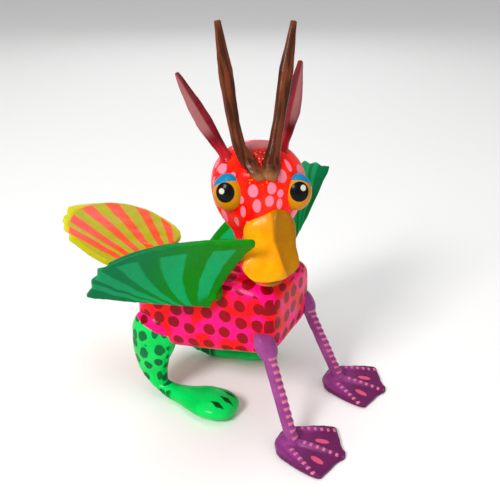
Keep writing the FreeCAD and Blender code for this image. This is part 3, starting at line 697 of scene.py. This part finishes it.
for side, (out, pupil, dot, lid_up, lid_low) in EYES.items():
    centre = on_face(*out, sunk=EYE_SUNK)
    pick_none()
    bpy.ops.mesh.primitive_uv_sphere_add(segments=48, ring_count=32, radius=1, location=(0, 0, 0))
    ball = bpy.context.object
    ball.name = "eye_ball_" + side
    ball.scale = EYE_RADII
    bpy.ops.object.transform_apply(scale=True)
    lid_axis = Vector(lid_up).normalized()
    edit(ball)
    select_where(ball, "polygons", lambda face: face.normal.dot(lid_axis) > lid_low)
    bpy.ops.mesh.extrude_region_shrink_fatten(TRANSFORM_OT_shrink_fatten={"value": 0.0})
    bpy.ops.transform.shrink_fatten(value=LID_THICK * MM)
    close()
    apply(ball, "SUBSURF", levels=1, render_levels=1)
    place(ball, Matrix.Translation(centre))
    shade(ball)

    paint = Paint("eye_%s_paint" % side, varnish=1.0, grain=0.04)
    away = paint.vector("SUBTRACT", paint.here, centre)
    direction = paint.vector("NORMALIZE", away)
    shaped = paint.vector("NORMALIZE", paint.vector("DIVIDE", away, EYE_RADII))
    to_pupil = paint.vector("DOT_PRODUCT", direction, Vector(pupil).normalized())
    to_dot = paint.vector("DOT_PRODUCT", direction, Vector(dot).normalized())
    to_lid = paint.vector("DOT_PRODUCT", shaped, lid_axis)
    gold = paint.mix(paint.noise(paint.here, 4.0), GOLD, linear(196, 118, 0))
    colour = paint.mix(paint.ramp(to_pupil, *PUPIL_EDGE), gold, BLACK)
    colour = paint.mix(paint.ramp(to_dot, *DOT_EDGE), colour, CHALK)
    colour = paint.mix(paint.ramp(to_lid, lid_low - 0.02, lid_low + 0.02), colour, LID_BLUE)
    stand_for(ball, "head", "eye_" + side, paint.finish(colour))

# -------- bill

BILL_FRAME = (Matrix.Translation(HEAD_CENTRE)
              @ Matrix.Rotation(HEAD_YAW + radians(3), 4, "Z"))
UPPER_BILL_RINGS = (
    # down, across, forward, half across, half thick
    (2.4, 2.4, 12.4, 2.2, 3.6), (4.2, 1.8, 12.8, 4.8, 4.8), (7.0, 1.2, 13.0, 7.3, 5.8),
    (10.0, 0.8, 13.5, 9.0, 5.9), (13.0, 0.7, 14.6, 8.9, 5.5), (16.0, 0.4, 16.3, 8.6, 4.8),
    (19.0, 0.1, 18.2, 9.4, 4.2), (21.4, -0.2, 19.9, 9.9, 3.5), (23.4, -0.6, 21.2, 8.4, 2.6),
    (25.0, -1.2, 22.2, 5.4, 1.8), (25.7, -1.4, 22.5, 2.8, 1.0),
)
LOWER_BILL_RINGS = (
    (11.0, -0.4, 10.8, 7.2, 2.6), (15.0, -0.6, 12.4, 8.2, 2.4), (19.0, -0.8, 15.2, 9.0, 2.3),
    (22.6, -1.3, 18.0, 8.8, 2.1), (25.8, -1.4, 20.3, 5.5, 1.7), (28.0, -0.8, 21.6, 2.4, 1.0),
)
# the ridge leans aside from here down, by this share of the way
RIDGE_FROM = 12
RIDGE_LEAN = 0.34
# shift in millimetres that makes the edge of the painted shade on the bill's right facet follow
# the leaning ridge
SHADE_EDGE_SHIFT = 4.1


def bill_part(name, rings, facet=1.0):
    """A half of the bill, drawn down from the face, with its ridge in front."""
    return grow(name, [(across, forward, down, wide, thick)
                       for down, across, forward, wide, thick in rings], sides=12, facet=facet)


upper = bill_part("bill_upper", UPPER_BILL_RINGS, facet=0.60)
edit(upper)


def on_ridge(edge):
    """An edge that runs down the middle of the front."""
    ends = [upper.data.vertices[index].co / MM for index in edge.vertices]
    return all(abs(end.x) < 3.0 and end.y > 14.5 and 2.0 < end.z < 24.5 for end in ends) and (
        abs(ends[0].z - ends[1].z) > 0.8)


select_where(upper, "edges", on_ridge)
bpy.ops.transform.edge_crease(value=0.9)
for down, across, forward, wide, thick in UPPER_BILL_RINGS:
    if RIDGE_FROM < down < 25:
        select_where(upper, "vertices", lambda v: abs(v.co.z / MM - down) < 0.3
                     and abs(v.co.x / MM - across) < 0.6 and v.co.y / MM > forward)
        bpy.ops.transform.translate(value=metres((down - RIDGE_FROM) * RIDGE_LEAN, 0, 0))
close()
lower = bill_part("bill_lower", LOWER_BILL_RINGS)
UPSIDE_DOWN = Matrix(((1, 0, 0, 0), (0, -1, 0, 0), (0, 0, -1, 0), (0, 0, 0, 1)))
for half in (upper, lower):
    smooth_skin(half, 3)
    place(half, BILL_FRAME @ UPSIDE_DOWN)
    carve(half, 0.6, 6)

paint = Paint("bill_paint", varnish=0.7)
across, _, up = paint.split(paint.frame_of(BILL_FRAME))
amber_patch = paint.ramp(paint.noise(paint.here, 6.0, 2.0), 0.35, 0.75)
colour = paint.mix(amber_patch, AMBER, linear(228, 142, 0))
# painted shade: the bill's right facet, beyond its leaning ridge, is darkened towards a brown
# amber
lean = paint.most(paint.less(paint.times(up, -RIDGE_LEAN), SHADE_EDGE_SHIFT * MM), 0.0)
painted_shade_side = paint.rise(paint.less(across, lean), -0.2, 1.0)
colour = paint.mix(paint.times(painted_shade_side, 0.72), colour, linear(146, 92, 0))
stand_for(upper, "head", "upper_bill", paint.finish(colour))

paint = Paint("lower_bill_paint", varnish=0.7)
across, _, up = paint.split(paint.frame_of(BILL_FRAME))
tip = paint.rise(up, -23.6, -24.8)
colour = paint.mix(tip, linear(236, 128, 10), OCHRE)
lip = paint.ramp(paint.noise(paint.here, 3.0, 1.0), 0.40, 0.60)
colour = paint.mix(paint.times(lip, paint.rise(across, 1.0, -2.0)), colour, MOUTH_PINK)
stand_for(lower, "head", "lower_bill", paint.finish(colour))

# -------- horns and ears

BLADES = {
    # node: root and tip in the head's frame, length, half width, half depth
    "horn_right": ((-6.2, 9.6, 11.6), (-13.3, 0.9, 55.2), 45.3, 2.5, 1.9),
    "horn_left": ((2.6, 10.6, 11.7), (11.4, -1.8, 52.3), 45.3, 2.5, 1.9),
    "ear_right": ((-11.2, 3.2, 11.4), (-24.0, -21.0, 33.8), 37.6, 3.1, 1.1),
    "ear_left": ((7.4, 2.8, 13.4), (20.0, -24.5, 38.0), 37.6, 3.1, 1.1),
}
TENONS = {"horn": 7.0, "ear": 5.0}
TENON_RADIUS = 1.4
HORN_SHAPE = (
    # share of the length, towards the brow's middle, forward, half width and depth shares
    (-0.13, 3.5, 4.4, 0.62, 0.55), (-0.11, 3.4, 4.1, 1.02, 0.90), (-0.06, 2.7, 2.7, 1.25, 1.15),
    (-0.01, 1.6, 1.1, 1.22, 1.25), (0.05, 0.4, 0.2, 1.06, 1.20), (0.13, -0.8, 0.0, 0.88, 1.0),
    (0.30, -1.2, 0.0, 0.82, 0.90), (0.48, -0.9, 0.0, 0.92, 0.95), (0.66, -0.5, 0.0, 1.0, 1.0),
    (0.84, -0.2, 0.0, 0.68, 0.70), (0.99, 0.0, 0.0, 0.46, 0.45), (1.0, 0.0, 0.0, 0.40, 0.38),
)
HORN_CURL = {"right": 1.0, "left": -0.15}
EAR_SHAPE = (
    (-0.08, 0.0, 0.0, 0.50, 1.40), (-0.05, 0.0, 0.0, 0.72, 1.90), (0.0, 0.0, 0.0, 0.76, 2.0),
    (0.08, -0.1, 0.0, 0.64, 1.60), (0.18, -0.3, 0.0, 0.74, 1.2), (0.42, -0.5, 0.0, 1.0, 1.0),
    (0.60, -0.4, 0.0, 0.92, 0.92), (0.75, -0.3, 0.0, 0.72, 0.80), (0.90, -0.1, 0.0, 0.48, 0.66),
    (0.99, 0.0, 0.0, 0.30, 0.50), (1.0, 0.0, 0.0, 0.24, 0.40),
)
for node, (root, tip, length, half_width, half_depth) in BLADES.items():
    kind, side = node.split("_")
    shape = HORN_SHAPE if kind == "horn" else EAR_SHAPE
    seat = on_face(*root)
    axis = (on_head(*tip) - seat).normalized()
    wide = HEAD_FRAME.to_3x3() @ Vector((1, 0, 0))
    deep = axis.cross(wide).normalized()
    wide = deep.cross(axis)
    blade_frame = Matrix.Translation(seat) @ Matrix((wide, deep, axis)).transposed().to_4x4()
    inward = HORN_CURL[side] if kind == "horn" else 1 if side == "right" else -1
    blade = grow("blade_" + node, [(inward * aside, -ahead, length * share, half_width * width,
                                    half_depth * depth)
                                   for share, aside, ahead, width, depth in shape],
                 sides=8, swell=False)
    apply(blade, "BEVEL", width=0.35 * MM, segments=2, limit_method="ANGLE")
    apply(blade, "SUBSURF", subdivision_type="SIMPLE", levels=2, render_levels=2)
    tenon = grow("tenon", [(0, 0, -TENONS[kind], 1.3, 1.3), (0, 0, 0.3 - TENONS[kind], 1.4, 1.4),
                           (0, 0, -0.5, TENON_RADIUS, TENON_RADIUS)], sides=20, swell=False)
    place(blade, blade_frame)
    place(tenon, blade_frame)
    carve(blade, 0.35, 5)
    apply(head, "BOOLEAN", operation="DIFFERENCE", object=blade, solver="EXACT")
    combine(blade, tenon)
    shade(blade, 28)
    bore(head, seat / MM - axis * (TENONS[kind] + 0.5), axis, TENONS[kind] + 3,
         TENON_RADIUS + 0.05)

    paint = Paint(node + "_paint", varnish=0.75)
    local = paint.frame_of(blade_frame)
    x, _, z = paint.split(local)
    streaks = paint.ramp(paint.noise(local, 1.6, 3.0, (1.0, 1.0, 0.12)), 0.40, 0.62)
    if kind == "horn":
        base = paint.times(paint.rise(z, -1.5, -5.0), 0.85)
        colour = paint.mix(base, paint.mix(streaks, UMBER, COCOA), SAND)
    else:
        outer = paint.rise(paint.times(x, -inward), 0.1, 0.9)
        outer = paint.times(outer, paint.rise(z, 8, 14), 0.85)
        colour = paint.mix(outer, paint.mix(streaks, WINE, linear(84, 2, 12)), DUSTY_ROSE)
        colour = paint.mix(paint.rise(z, 9.0, 1.0), colour, linear(176, 14, 26))
    stand_for(blade, node, node, paint.finish(colour))

stand_for(head, "head", "head", HEAD_PAINT)

# -------- wings

WING_CHORD = 35.0
WING_SPAN = 41.8
WING_RADIUS = 46.0
WING_THICK = 2.0
WING_RISE = radians(20)
WINGS = {
    # side: sign, root and span directions, where the peg meets, standoff, stretch of the span
    "right": (-1, (-0.085, -0.562, 0.823), (-0.641, 0.663, 0.386), (5.0, 2.6), 5.5, 1.0),
    "left": (1, (0.040, 0.998, -0.056), (0.731, 0.009, 0.682), (10.4, 2.6), 2.8, 1.05),
}
WING_MOUTH = Vector((17.5, -10.05, 51.9))
BOW_SHIFT = 3.0
BOW_BEND = 8.0
WING_BANDS = ((4.8, 13.0), (23.0, 35.0), (47.5, 63.0), (80.0, 118.0), (150.0, 300.0))
WING_EDGE = (
    # chord share and span share, from the root's low corner
    (0.00, 0.00), (0.25, -0.010), (0.50, -0.014), (0.75, -0.010), (0.955, -0.002), (0.992, 0.035),
    (0.925, 0.135), (0.84, 0.25), (0.73, 0.39), (0.62, 0.53), (0.51, 0.66), (0.40, 0.77),
    (0.29, 0.86), (0.206, 0.93), (0.175, 0.925), (0.155, 0.935), (0.125, 0.985), (0.103, 0.985),
    (0.055, 0.965), (0.03, 0.985), (0.0, 1.0), (-0.035, 0.99), (-0.064, 0.975), (-0.10, 0.99),
    (-0.143, 1.0), (-0.145, 0.93), (-0.131, 0.85), (-0.107, 0.65), (-0.079, 0.45), (-0.04, 0.22),
)


def camber_drop(chord_place):
    """How far the hollow face lies below the board's edges at a place along the chord."""
    reach = WING_CHORD / 2
    middle = math.sqrt(WING_RADIUS ** 2 - reach ** 2)
    return math.sqrt(WING_RADIUS ** 2 - (chord_place - reach) ** 2) - middle


def unrolled(chord_place):
    """A place along the chord, measured along the bent board from its middle."""
    return math.asin((chord_place - WING_CHORD / 2) / WING_RADIUS) * WING_RADIUS


for side, (sign, root, span, peg_at, standoff, stretch) in WINGS.items():
    root_way = Vector(root).normalized()
    span_way = Vector(span)
    hollow_way = root_way.cross(span_way).normalized()
    span_way = hollow_way.cross(root_way)
    axes = Matrix((root_way, span_way, hollow_way)).transposed()
    outward = Vector((sign * math.cos(WING_RISE), 0, math.sin(WING_RISE)))
    mouth = Vector((sign * WING_MOUTH.x, WING_MOUTH.y, WING_MOUTH.z))
    meet = mouth + outward * standoff
    on_board = Vector((*peg_at, -camber_drop(peg_at[0]) - WING_THICK / 2))
    corner = meet - axes @ on_board
    wing_frame = Matrix.Translation(corner * MM) @ axes.to_4x4()

    wing = outline_board("wing_board_" + side,
                         [(unrolled(chord * WING_CHORD), along * WING_SPAN * stretch)
                          for chord, along in WING_EDGE], WING_THICK)
    reskin(wing, 0.42, 3)
    place(wing, Matrix.Rotation(radians(90), 4, "X"))
    across_board = [vertex.co.x for vertex in wing.data.vertices]
    width = max(across_board) - min(across_board)
    apply(wing, "SIMPLE_DEFORM", deform_method="BEND", deform_axis="Z",
          angle=-width / (WING_RADIUS * MM))
    edge_drop = camber_drop(WING_CHORD / 2)
    to_board = Matrix(((1, 0, 0, WING_CHORD / 2 * MM), (0, 0, 1, 0),
                       (0, -1, 0, -(edge_drop + WING_THICK / 2) * MM), (0, 0, 0, 1)))
    place(wing, wing_frame @ to_board)
    carve(wing, 0.45, 6)
    boss = grow("boss", [(0, 0, 0.7, 3.2, 3.2), (0, 0, 1.0, 3.5, 3.5),
                         (0, 0, standoff - 0.4, 3.0, 3.0), (0, 0, standoff, 2.4, 2.4)],
                sides=20, swell=False)
    place(boss, aimed(mouth, outward))
    combine(wing, boss)

    paint = Paint("wing_%s_paint" % side, varnish=0.65)
    x, y, _ = paint.split(paint.wobble(paint.frame_of(wing_frame), 7.0, 1.2))
    from_corner = paint.vector("LENGTH", paint.join(x, y, 0.0))
    bow = paint.most(paint.plus(x, BOW_SHIFT * MM), 0.4 * MM)
    bow = paint.plus(paint.over(BOW_BEND * MM, bow), 1.0)
    bow = paint.over(paint.times(y, bow), MM)
    rim = paint.scaled(x, 0.84, paint.times(y, 0.54))
    band = paint.times(paint.bands(bow, WING_BANDS, 0.03), paint.rise(rim, 26.6, 25.8),
                       paint.rise(from_corner, 3.5, 6.5))
    tipward = paint.rise(y, 10, 36)
    ground = paint.mix(tipward, LEAF, DEEP_TEAL)
    light = paint.mix(tipward, MINT, linear(16, 138, 84))
    stand_for(wing, "wing_" + side, "wing_" + side,
              paint.finish(paint.mix(band, ground, light), band, (0.35, 1.0, 1.0)))

# -------- tail fan

TAIL_LENGTH = 40.4
TAIL_HALF = 21.5
# how far left of the tail's root and behind it the stripes would meet, and the angle added
STRIPES_MEET = (14.0, 22.0)
STRIPE_SHIFT = 40.0
FAN_CENTRE = 14.3
TAIL_STRIPES = ((36.0, 40.8), (43.4, 48.3), (53.7, 59.3), (64.8, 70.6), (76.6, 81.8), (86.2, 90.6))
TAIL_EDGE = (
    # across and along, as shares of the half width and the length
    (-0.19, 0.0), (-0.45, 0.045), (-0.70, 0.10), (-0.86, 0.165), (-0.93, 0.24), (-0.94, 0.38),
    (-0.91, 0.50), (-0.86, 0.62), (-0.84, 0.68), (-0.80, 0.70), (-0.72, 0.715), (-0.68, 0.75),
    (-0.68, 0.80), (-0.65, 0.83), (-0.57, 0.84), (-0.52, 0.87), (-0.49, 0.91), (-0.42, 0.93),
    (-0.33, 0.93), (-0.24, 0.955), (-0.18, 0.985), (-0.10, 1.0), (0.10, 0.965), (0.40, 0.88),
    (0.64, 0.805), (0.86, 0.70), (0.98, 0.60), (1.06, 0.49), (1.08, 0.36), (1.07, 0.24),
    (1.03, 0.13), (0.94, 0.04), (0.80, -0.02), (0.60, -0.04), (0.40, -0.03), (0.19, 0.0),
)
tail_frame = (Matrix.Translation((TAIL_MOUTH + TAIL_ALONG * 2.0) * MM)
              @ Matrix.Rotation(TAIL_PITCH, 4, "X"))
tail = outline_board("tail_board", [(across * TAIL_HALF, along * TAIL_LENGTH)
                                    for across, along in TAIL_EDGE], 2.6)
reskin(tail, 0.45, 3)
place(tail, tail_frame)
carve(tail, 0.5, 7)
knuckle = grow("knuckle", [(0, 0, 0.25, 2.6, 2.6), (0, 0, 0.8, 3.2, 3.2), (0, 0, 4.5, 3.0, 2.8),
                           (0, 0, 9.0, 2.0, 1.4), (0, 0, 10.5, 1.0, 0.8)], sides=20)
smooth_skin(knuckle, 1)
place(knuckle, aimed(TAIL_MOUTH, TAIL_ALONG))
combine(tail, knuckle)

paint = Paint("tail_paint", varnish=0.6)
local = paint.frame_of(tail_frame)
x, y, _ = paint.split(paint.wobble(local, 8.0, 1.0))
bearing = paint.maths("ARCTAN2", paint.plus(x, STRIPES_MEET[0] * MM),
                      paint.plus(y, STRIPES_MEET[1] * MM))
bearing = paint.scaled(bearing, 180 / math.pi, STRIPE_SHIFT)
inner = paint.vector("LENGTH", paint.join(x, paint.less(y, FAN_CENTRE * MM), 0.0))
stripe = paint.times(paint.bands(bearing, TAIL_STRIPES, 0.006), paint.rise(inner, 22.3, 21.6))
tipward = paint.times(paint.rise(y, 8, 30), paint.rise(x, 16, 2))
blush = paint.times(0.6, paint.ramp(paint.noise(paint.here, 6.0), 0.5, 0.65))
warm = paint.mix(blush, paint.mix(tipward, TANGERINE, SALMON), linear(246, 84, 84))
# painted light: the fan's outer rim, beyond the stripes, is a brighter yellow than the olive
# inside, as where it faces the light
ground = paint.mix(paint.rise(inner, 21.0, 23.5), OLIVE, linear(206, 200, 0))
stand_for(tail, "tail", "tail_fan",
          paint.finish(paint.mix(stripe, ground, warm), stripe, (1.0, 0.3, 1.0)))

# -------- front legs and webbed feet

FRONT = {
    # side: knob, ankle
    "right": ((-16.9, -29.45, 33.0), (-23.0, -41.95, 3.2)),
    "left": ((16.9, -30.65, 34.8), (21.2, -43.65, 3.2)),
}
LEG_RADIUS = 2.2
NOTCH_DEPTH = 0.55
NOTCH_PITCH = 2.6
NOTCH_RINGS = 4
SHAFT_FROM = 0.12
FOOT_TURN = radians(8)
FOOT_LENGTH = 19.2
FOOT_EDGE = (
    # across and forward in millimetres, one side; the other side mirrors it
    (0.0, -5.2), (3.0, -5.0), (5.4, -4.0), (7.4, -2.0), (9.0, 0.8), (10.6, 3.6), (11.9, 6.4),
    (13.1, 9.6), (13.7, 12.1), (13.3, 13.5), (11.6, 14.1), (9.4, 15.0), (7.6, 15.8), (5.0, 16.6),
    (3.0, 17.8), (1.6, 19.0), (0.0, 19.3),
)
SOLE_THICK = 3.0
TOE_FALL = 4.5
DASH_STEP = 2.35
WEB_OVALS = ((3.9, 10.2, 1.15, 2.5, 0.12), (-6.4, 10.6, 1.2, 2.6, -0.45))
TOES = (
    # across and forward: where a toe begins and where it ends
    ((-3.6, -0.6), (-13.0, 10.6)), ((0.0, 2.0), (-1.4, 17.4)), ((6.4, -0.6), (11.2, 12.2)),
)

for side, (knob, ankle) in FRONT.items():
    knob = Vector(knob)
    ankle = Vector(ankle)
    drop = ankle - knob
    count = int(drop.length * (1 - SHAFT_FROM) / NOTCH_PITCH * NOTCH_RINGS)
    rings = []
    for share, radius in ((-0.20, 1.8), (-0.175, 3.1), (-0.11, 3.9), (-0.03, 4.1), (0.03, 3.7),
                          (0.07, 3.0), (0.10, 2.6)):
        rings.append((*(knob + drop * share), radius, radius))
    for number in range(count):
        share = SHAFT_FROM + (1 - SHAFT_FROM) * number / (count - 1)
        rings.append((*(knob + drop * share), LEG_RADIUS, LEG_RADIUS))
    leg = grow("leg_front_" + side, rings, sides=12)
    edit(leg)

    def on_front_edge(vertex):
        """The front of the shaft, at the high half of each notch."""
        share = (knob.z - vertex.co.z / MM) / (knob.z - ankle.z)
        if share < SHAFT_FROM - 0.005:
            return False
        number = round((share - SHAFT_FROM) / (1 - SHAFT_FROM) * (count - 1))
        axis_y = (knob + drop * share).y
        return number % NOTCH_RINGS in (0, 1) and vertex.co.y / MM < axis_y - LEG_RADIUS * 0.7

    select_where(leg, "vertices", on_front_edge)
    bpy.ops.transform.translate(value=metres(0, -NOTCH_DEPTH, 0))
    close()
    smooth_skin(leg, 1)
    carve(leg, 0.3, 4)

    paint = Paint("front_leg_%s_paint" % side, varnish=0.5)
    _, y, z = paint.split(paint.frame_of(Matrix.Translation(knob * MM)))
    off_axis = paint.less(y, paint.times(z, drop.y / drop.z))
    share = paint.over(z, drop.z * MM)
    notches = paint.times(paint.less(share, SHAFT_FROM),
                          (count - 1) / (1 - SHAFT_FROM) / NOTCH_RINGS)
    dash = paint.times(paint.ramp(paint.maths("FRACT", notches), 0.50, 0.42),
                       paint.rise(off_axis, -1.2, -1.6), paint.ramp(share, 0.03, 0.05))
    ground = paint.mix(paint.noise(paint.here, 5.0), PLUM, LILAC)
    stand_for(leg, "torso", "front_leg_" + side,
              paint.finish(paint.mix(dash, ground, DASH_PINK), dash))

    half = [(across, -forward) for across, forward in FOOT_EDGE]
    mirrored = [(-across, behind) for across, behind in reversed(half[1:-1])]
    sole = outline_board("foot_front_" + side, half + mirrored, SOLE_THICK)
    place(sole, Matrix.Translation(metres(0, 0, SOLE_THICK / 2)))
    slice_off(sole, metres(0, -FOOT_LENGTH, 1.1), (0, -0.085, 1), clear_outer=True)
    toes = []
    for start, end in TOES:
        way = Vector((end[0] - start[0], start[1] - end[1], 0))
        level = math.atan2(way.x, -way.y)
        reach = way.length
        toe = grow("toe", [(0, 0, -1.0, 1.9, 1.3), (0, 0, reach * 0.25, 1.7, 1.5),
                           (0, 0, reach * 0.60, 1.35, 1.25), (0, 0, reach * 0.92, 1.0, 0.9),
                           (0, 0, reach, 0.6, 0.6)], sides=12)
        smooth_skin(toe, 1)
        lie = Matrix.Rotation(level, 4, "Z") @ Matrix.Rotation(radians(90 + TOE_FALL), 4, "X")
        place(toe, Matrix.Translation(metres(start[0], -start[1], 2.4)) @ lie)
        toes.append(toe)
    heel = grow("heel", [(0, -0.8, 0.1, 5.4, 4.4), (0, -0.8, 1.6, 5.6, 4.6),
                         (0, -1.4, 3.0, 4.6, 3.8), (0, -1.6, 4.0, 3.0, 2.8),
                         (0, -1.6, 4.5, 1.4, 1.4)], sides=16)
    smooth_skin(heel, 1)
    place(heel, Matrix.Translation(metres(0, 2.4, 0)))
    foot = merge([sole] + toes + [heel], "foot_front_" + side)
    reskin(foot, 0.32, 4)
    slice_off(foot, (0, 0, 0.0002), (0, 0, 1), clear_inner=True)
    foot_frame = (Matrix.Translation(metres(ankle.x, ankle.y, -0.2))
                  @ Matrix.Rotation(FOOT_TURN, 4, "Z"))
    place(foot, foot_frame)

    paint = Paint("front_foot_%s_paint" % side, varnish=0.6)
    x, behind, z = paint.split(paint.frame_of(foot_frame))
    ahead = paint.times(behind, -1.0)
    dashes = []
    for start, end in TOES:
        way = (Vector(end) - Vector(start)).normalized()
        from_x = paint.less(x, start[0] * MM)
        from_ahead = paint.less(ahead, start[1] * MM)
        aside = paint.scaled(from_x, way.y, paint.times(from_ahead, -way.x))
        along = paint.scaled(from_x, way.x, paint.times(from_ahead, way.y))
        beat = paint.maths("FRACT", paint.over(along, DASH_STEP * MM))
        dashes.append(paint.times(paint.rise(paint.size(aside), 1.05, 0.75),
                                  paint.rise(along, 1.5, 1.9), paint.ramp(beat, 0.46, 0.36)))
    dashes = paint.times(paint.most(*dashes), paint.rise(z, 1.0, 1.3))
    ovals = paint.times(paint.ovals(x, ahead, WEB_OVALS), paint.rise(z, 0.8, 1.2))
    # painted shade: the foot is a darker purple where it lies low, on the webs between the raised
    # toes
    ground = paint.mix(paint.rise(z, 3.2, 1.8), linear(142, 58, 130), linear(102, 28, 84))
    colour = paint.mix(dashes, paint.mix(ovals, ground, OVAL_PINK), DASH_PINK)
    stand_for(foot, "torso", "front_foot_" + side,
              paint.finish(colour, paint.most(dashes, ovals)))

# -------- rear legs

REAR_LEG_RINGS = (
    # behind the hock, height, half across, half along the leg's depth, tilt
    (0.0, 36.0, 2.2, 4.8, 0), (0.2, 33.5, 4.0, 7.6, 0), (0.2, 29.5, 5.4, 9.2, 0),
    (0.4, 23.0, 6.2, 9.2, 4), (1.2, 18.0, 5.6, 7.8, 6), (2.0, 13.5, 4.8, 6.3, 4),
    (1.6, 9.0, 4.2, 5.6, -12), (-0.2, 5.4, 3.8, 5.0, -38), (-3.6, 3.4, 3.4, 3.6, -68),
    (-8.0, 2.6, 3.5, 2.8, -88), (-13.0, 2.8, 4.8, 3.1, -90), (-18.0, 3.2, 7.5, 3.6, -90),
    (-24.0, 3.6, 8.7, 4.2, -90), (-29.0, 3.7, 8.3, 4.2, -90), (-32.6, 3.4, 6.6, 3.2, -90),
    (-34.4, 3.0, 4.2, 1.9, -90),
)
# side: the hock's place across, and the turn of the paw in degrees
REAR = {"right": (-14.4, -4.0), "left": (16.0, 26.0)}
HOCK_Y = 17.55
MARK_HALF_WIDE = 1.15
MARK_HALF_LONG = 3.0
# across and forward, in millimetres
TOE_MARKS = ((-4.0, 29.4), (0.0, 31.0), (4.0, 30.0))

for side, (hock_x, paw_turn) in REAR.items():
    leg = grow("leg_rear_" + side, [(0, behind, -height, across, deep, tilt)
                                    for behind, height, across, deep, tilt in REAR_LEG_RINGS],
               sides=14)
    leg_frame = Matrix.Translation(metres(hock_x, HOCK_Y, 0))
    place(leg, Matrix.Diagonal((1, 1, -1, 1)))
    edit(leg)
    select_where(leg, "vertices", lambda v: v.co.y < -2.0 * MM and v.co.z < 12 * MM)
    bpy.ops.transform.rotate(value=-radians(paw_turn), orient_axis="Z",
                             center_override=(0, 0, 0))
    close()
    smooth_skin(leg, 2)
    carve(leg, 0.9, 7)
    slice_off(leg, (0, 0, 0), (0, 0, 1), clear_inner=True)
    place(leg, leg_frame)
    shade(leg, 50)

    paint = Paint("rear_leg_%s_paint" % side, varnish=0.9)
    local = paint.frame_of(leg_frame @ Matrix.Rotation(radians(paw_turn), 4, "Z"))
    x, behind, z = paint.split(local)
    ahead = paint.times(behind, -1.0)
    hand = paint.wobble(paint.here, 4.0, 2.0)
    spots = paint.dabs(hand, paint.facing, (5.6, 4.8, 6.2), (hock_x, HOCK_Y, 2.0), 0.32, 0.55)
    spots = paint.times(spots, paint.rise(ahead, 9, 7))
    thigh_top = paint.rise(paint.scaled(behind, -0.36, z), 31.2, 31.5)
    rosy = paint.mix(paint.dabs(hand, paint.facing, *BODY_SPOTS), HOT_PINK, DRIED_BLOOD)
    marks = []
    for across, forward in TOE_MARKS:
        aside = paint.over(paint.size(paint.less(x, across * MM)), MARK_HALF_WIDE * MM)
        along = paint.size(paint.over(paint.less(ahead, forward * MM), MARK_HALF_LONG * MM))
        marks.append(paint.ramp(paint.plus(aside, along), 1.08, 0.92))
    marks = paint.times(paint.most(*marks), paint.rise(z, 2.0, 3.0))
    ground = paint.mix(paint.ramp(paint.noise(paint.here, 9.0), 0.4, 0.7), SPRING_GREEN,
                       linear(0, 196, 80))
    colour = paint.mix(marks, paint.mix(spots, ground, BOTTLE_GREEN), TOE_GREEN)
    colour = paint.mix(thigh_top, colour, rosy)
    stand_for(leg, "torso", "rear_leg_" + side,
              paint.finish(colour, paint.most(spots, marks)))

# -------- bare wood pegs and dowels

paint = Paint("bare_wood", varnish=0.0)
rings = paint.noise(paint.here, 0.8, 3.0, (1.0, 1.0, 0.15))
colour = paint.mix(paint.ramp(rings, 0.35, 0.65), BARE_WOOD, linear(176, 136, 88))
WOOD = paint.finish(colour, rings)
PAIRED = ("wing_peg_", "front_leg_pin_", "foot_pin_", "rear_leg_dowel_")
for node in ("neck_dowel", "tail_peg", *(kind + side for kind in PAIRED for side in EYES)):
    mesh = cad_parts[node].data
    mesh.materials.clear()
    mesh.materials.append(WOOD)

# -------- end

pick_none()
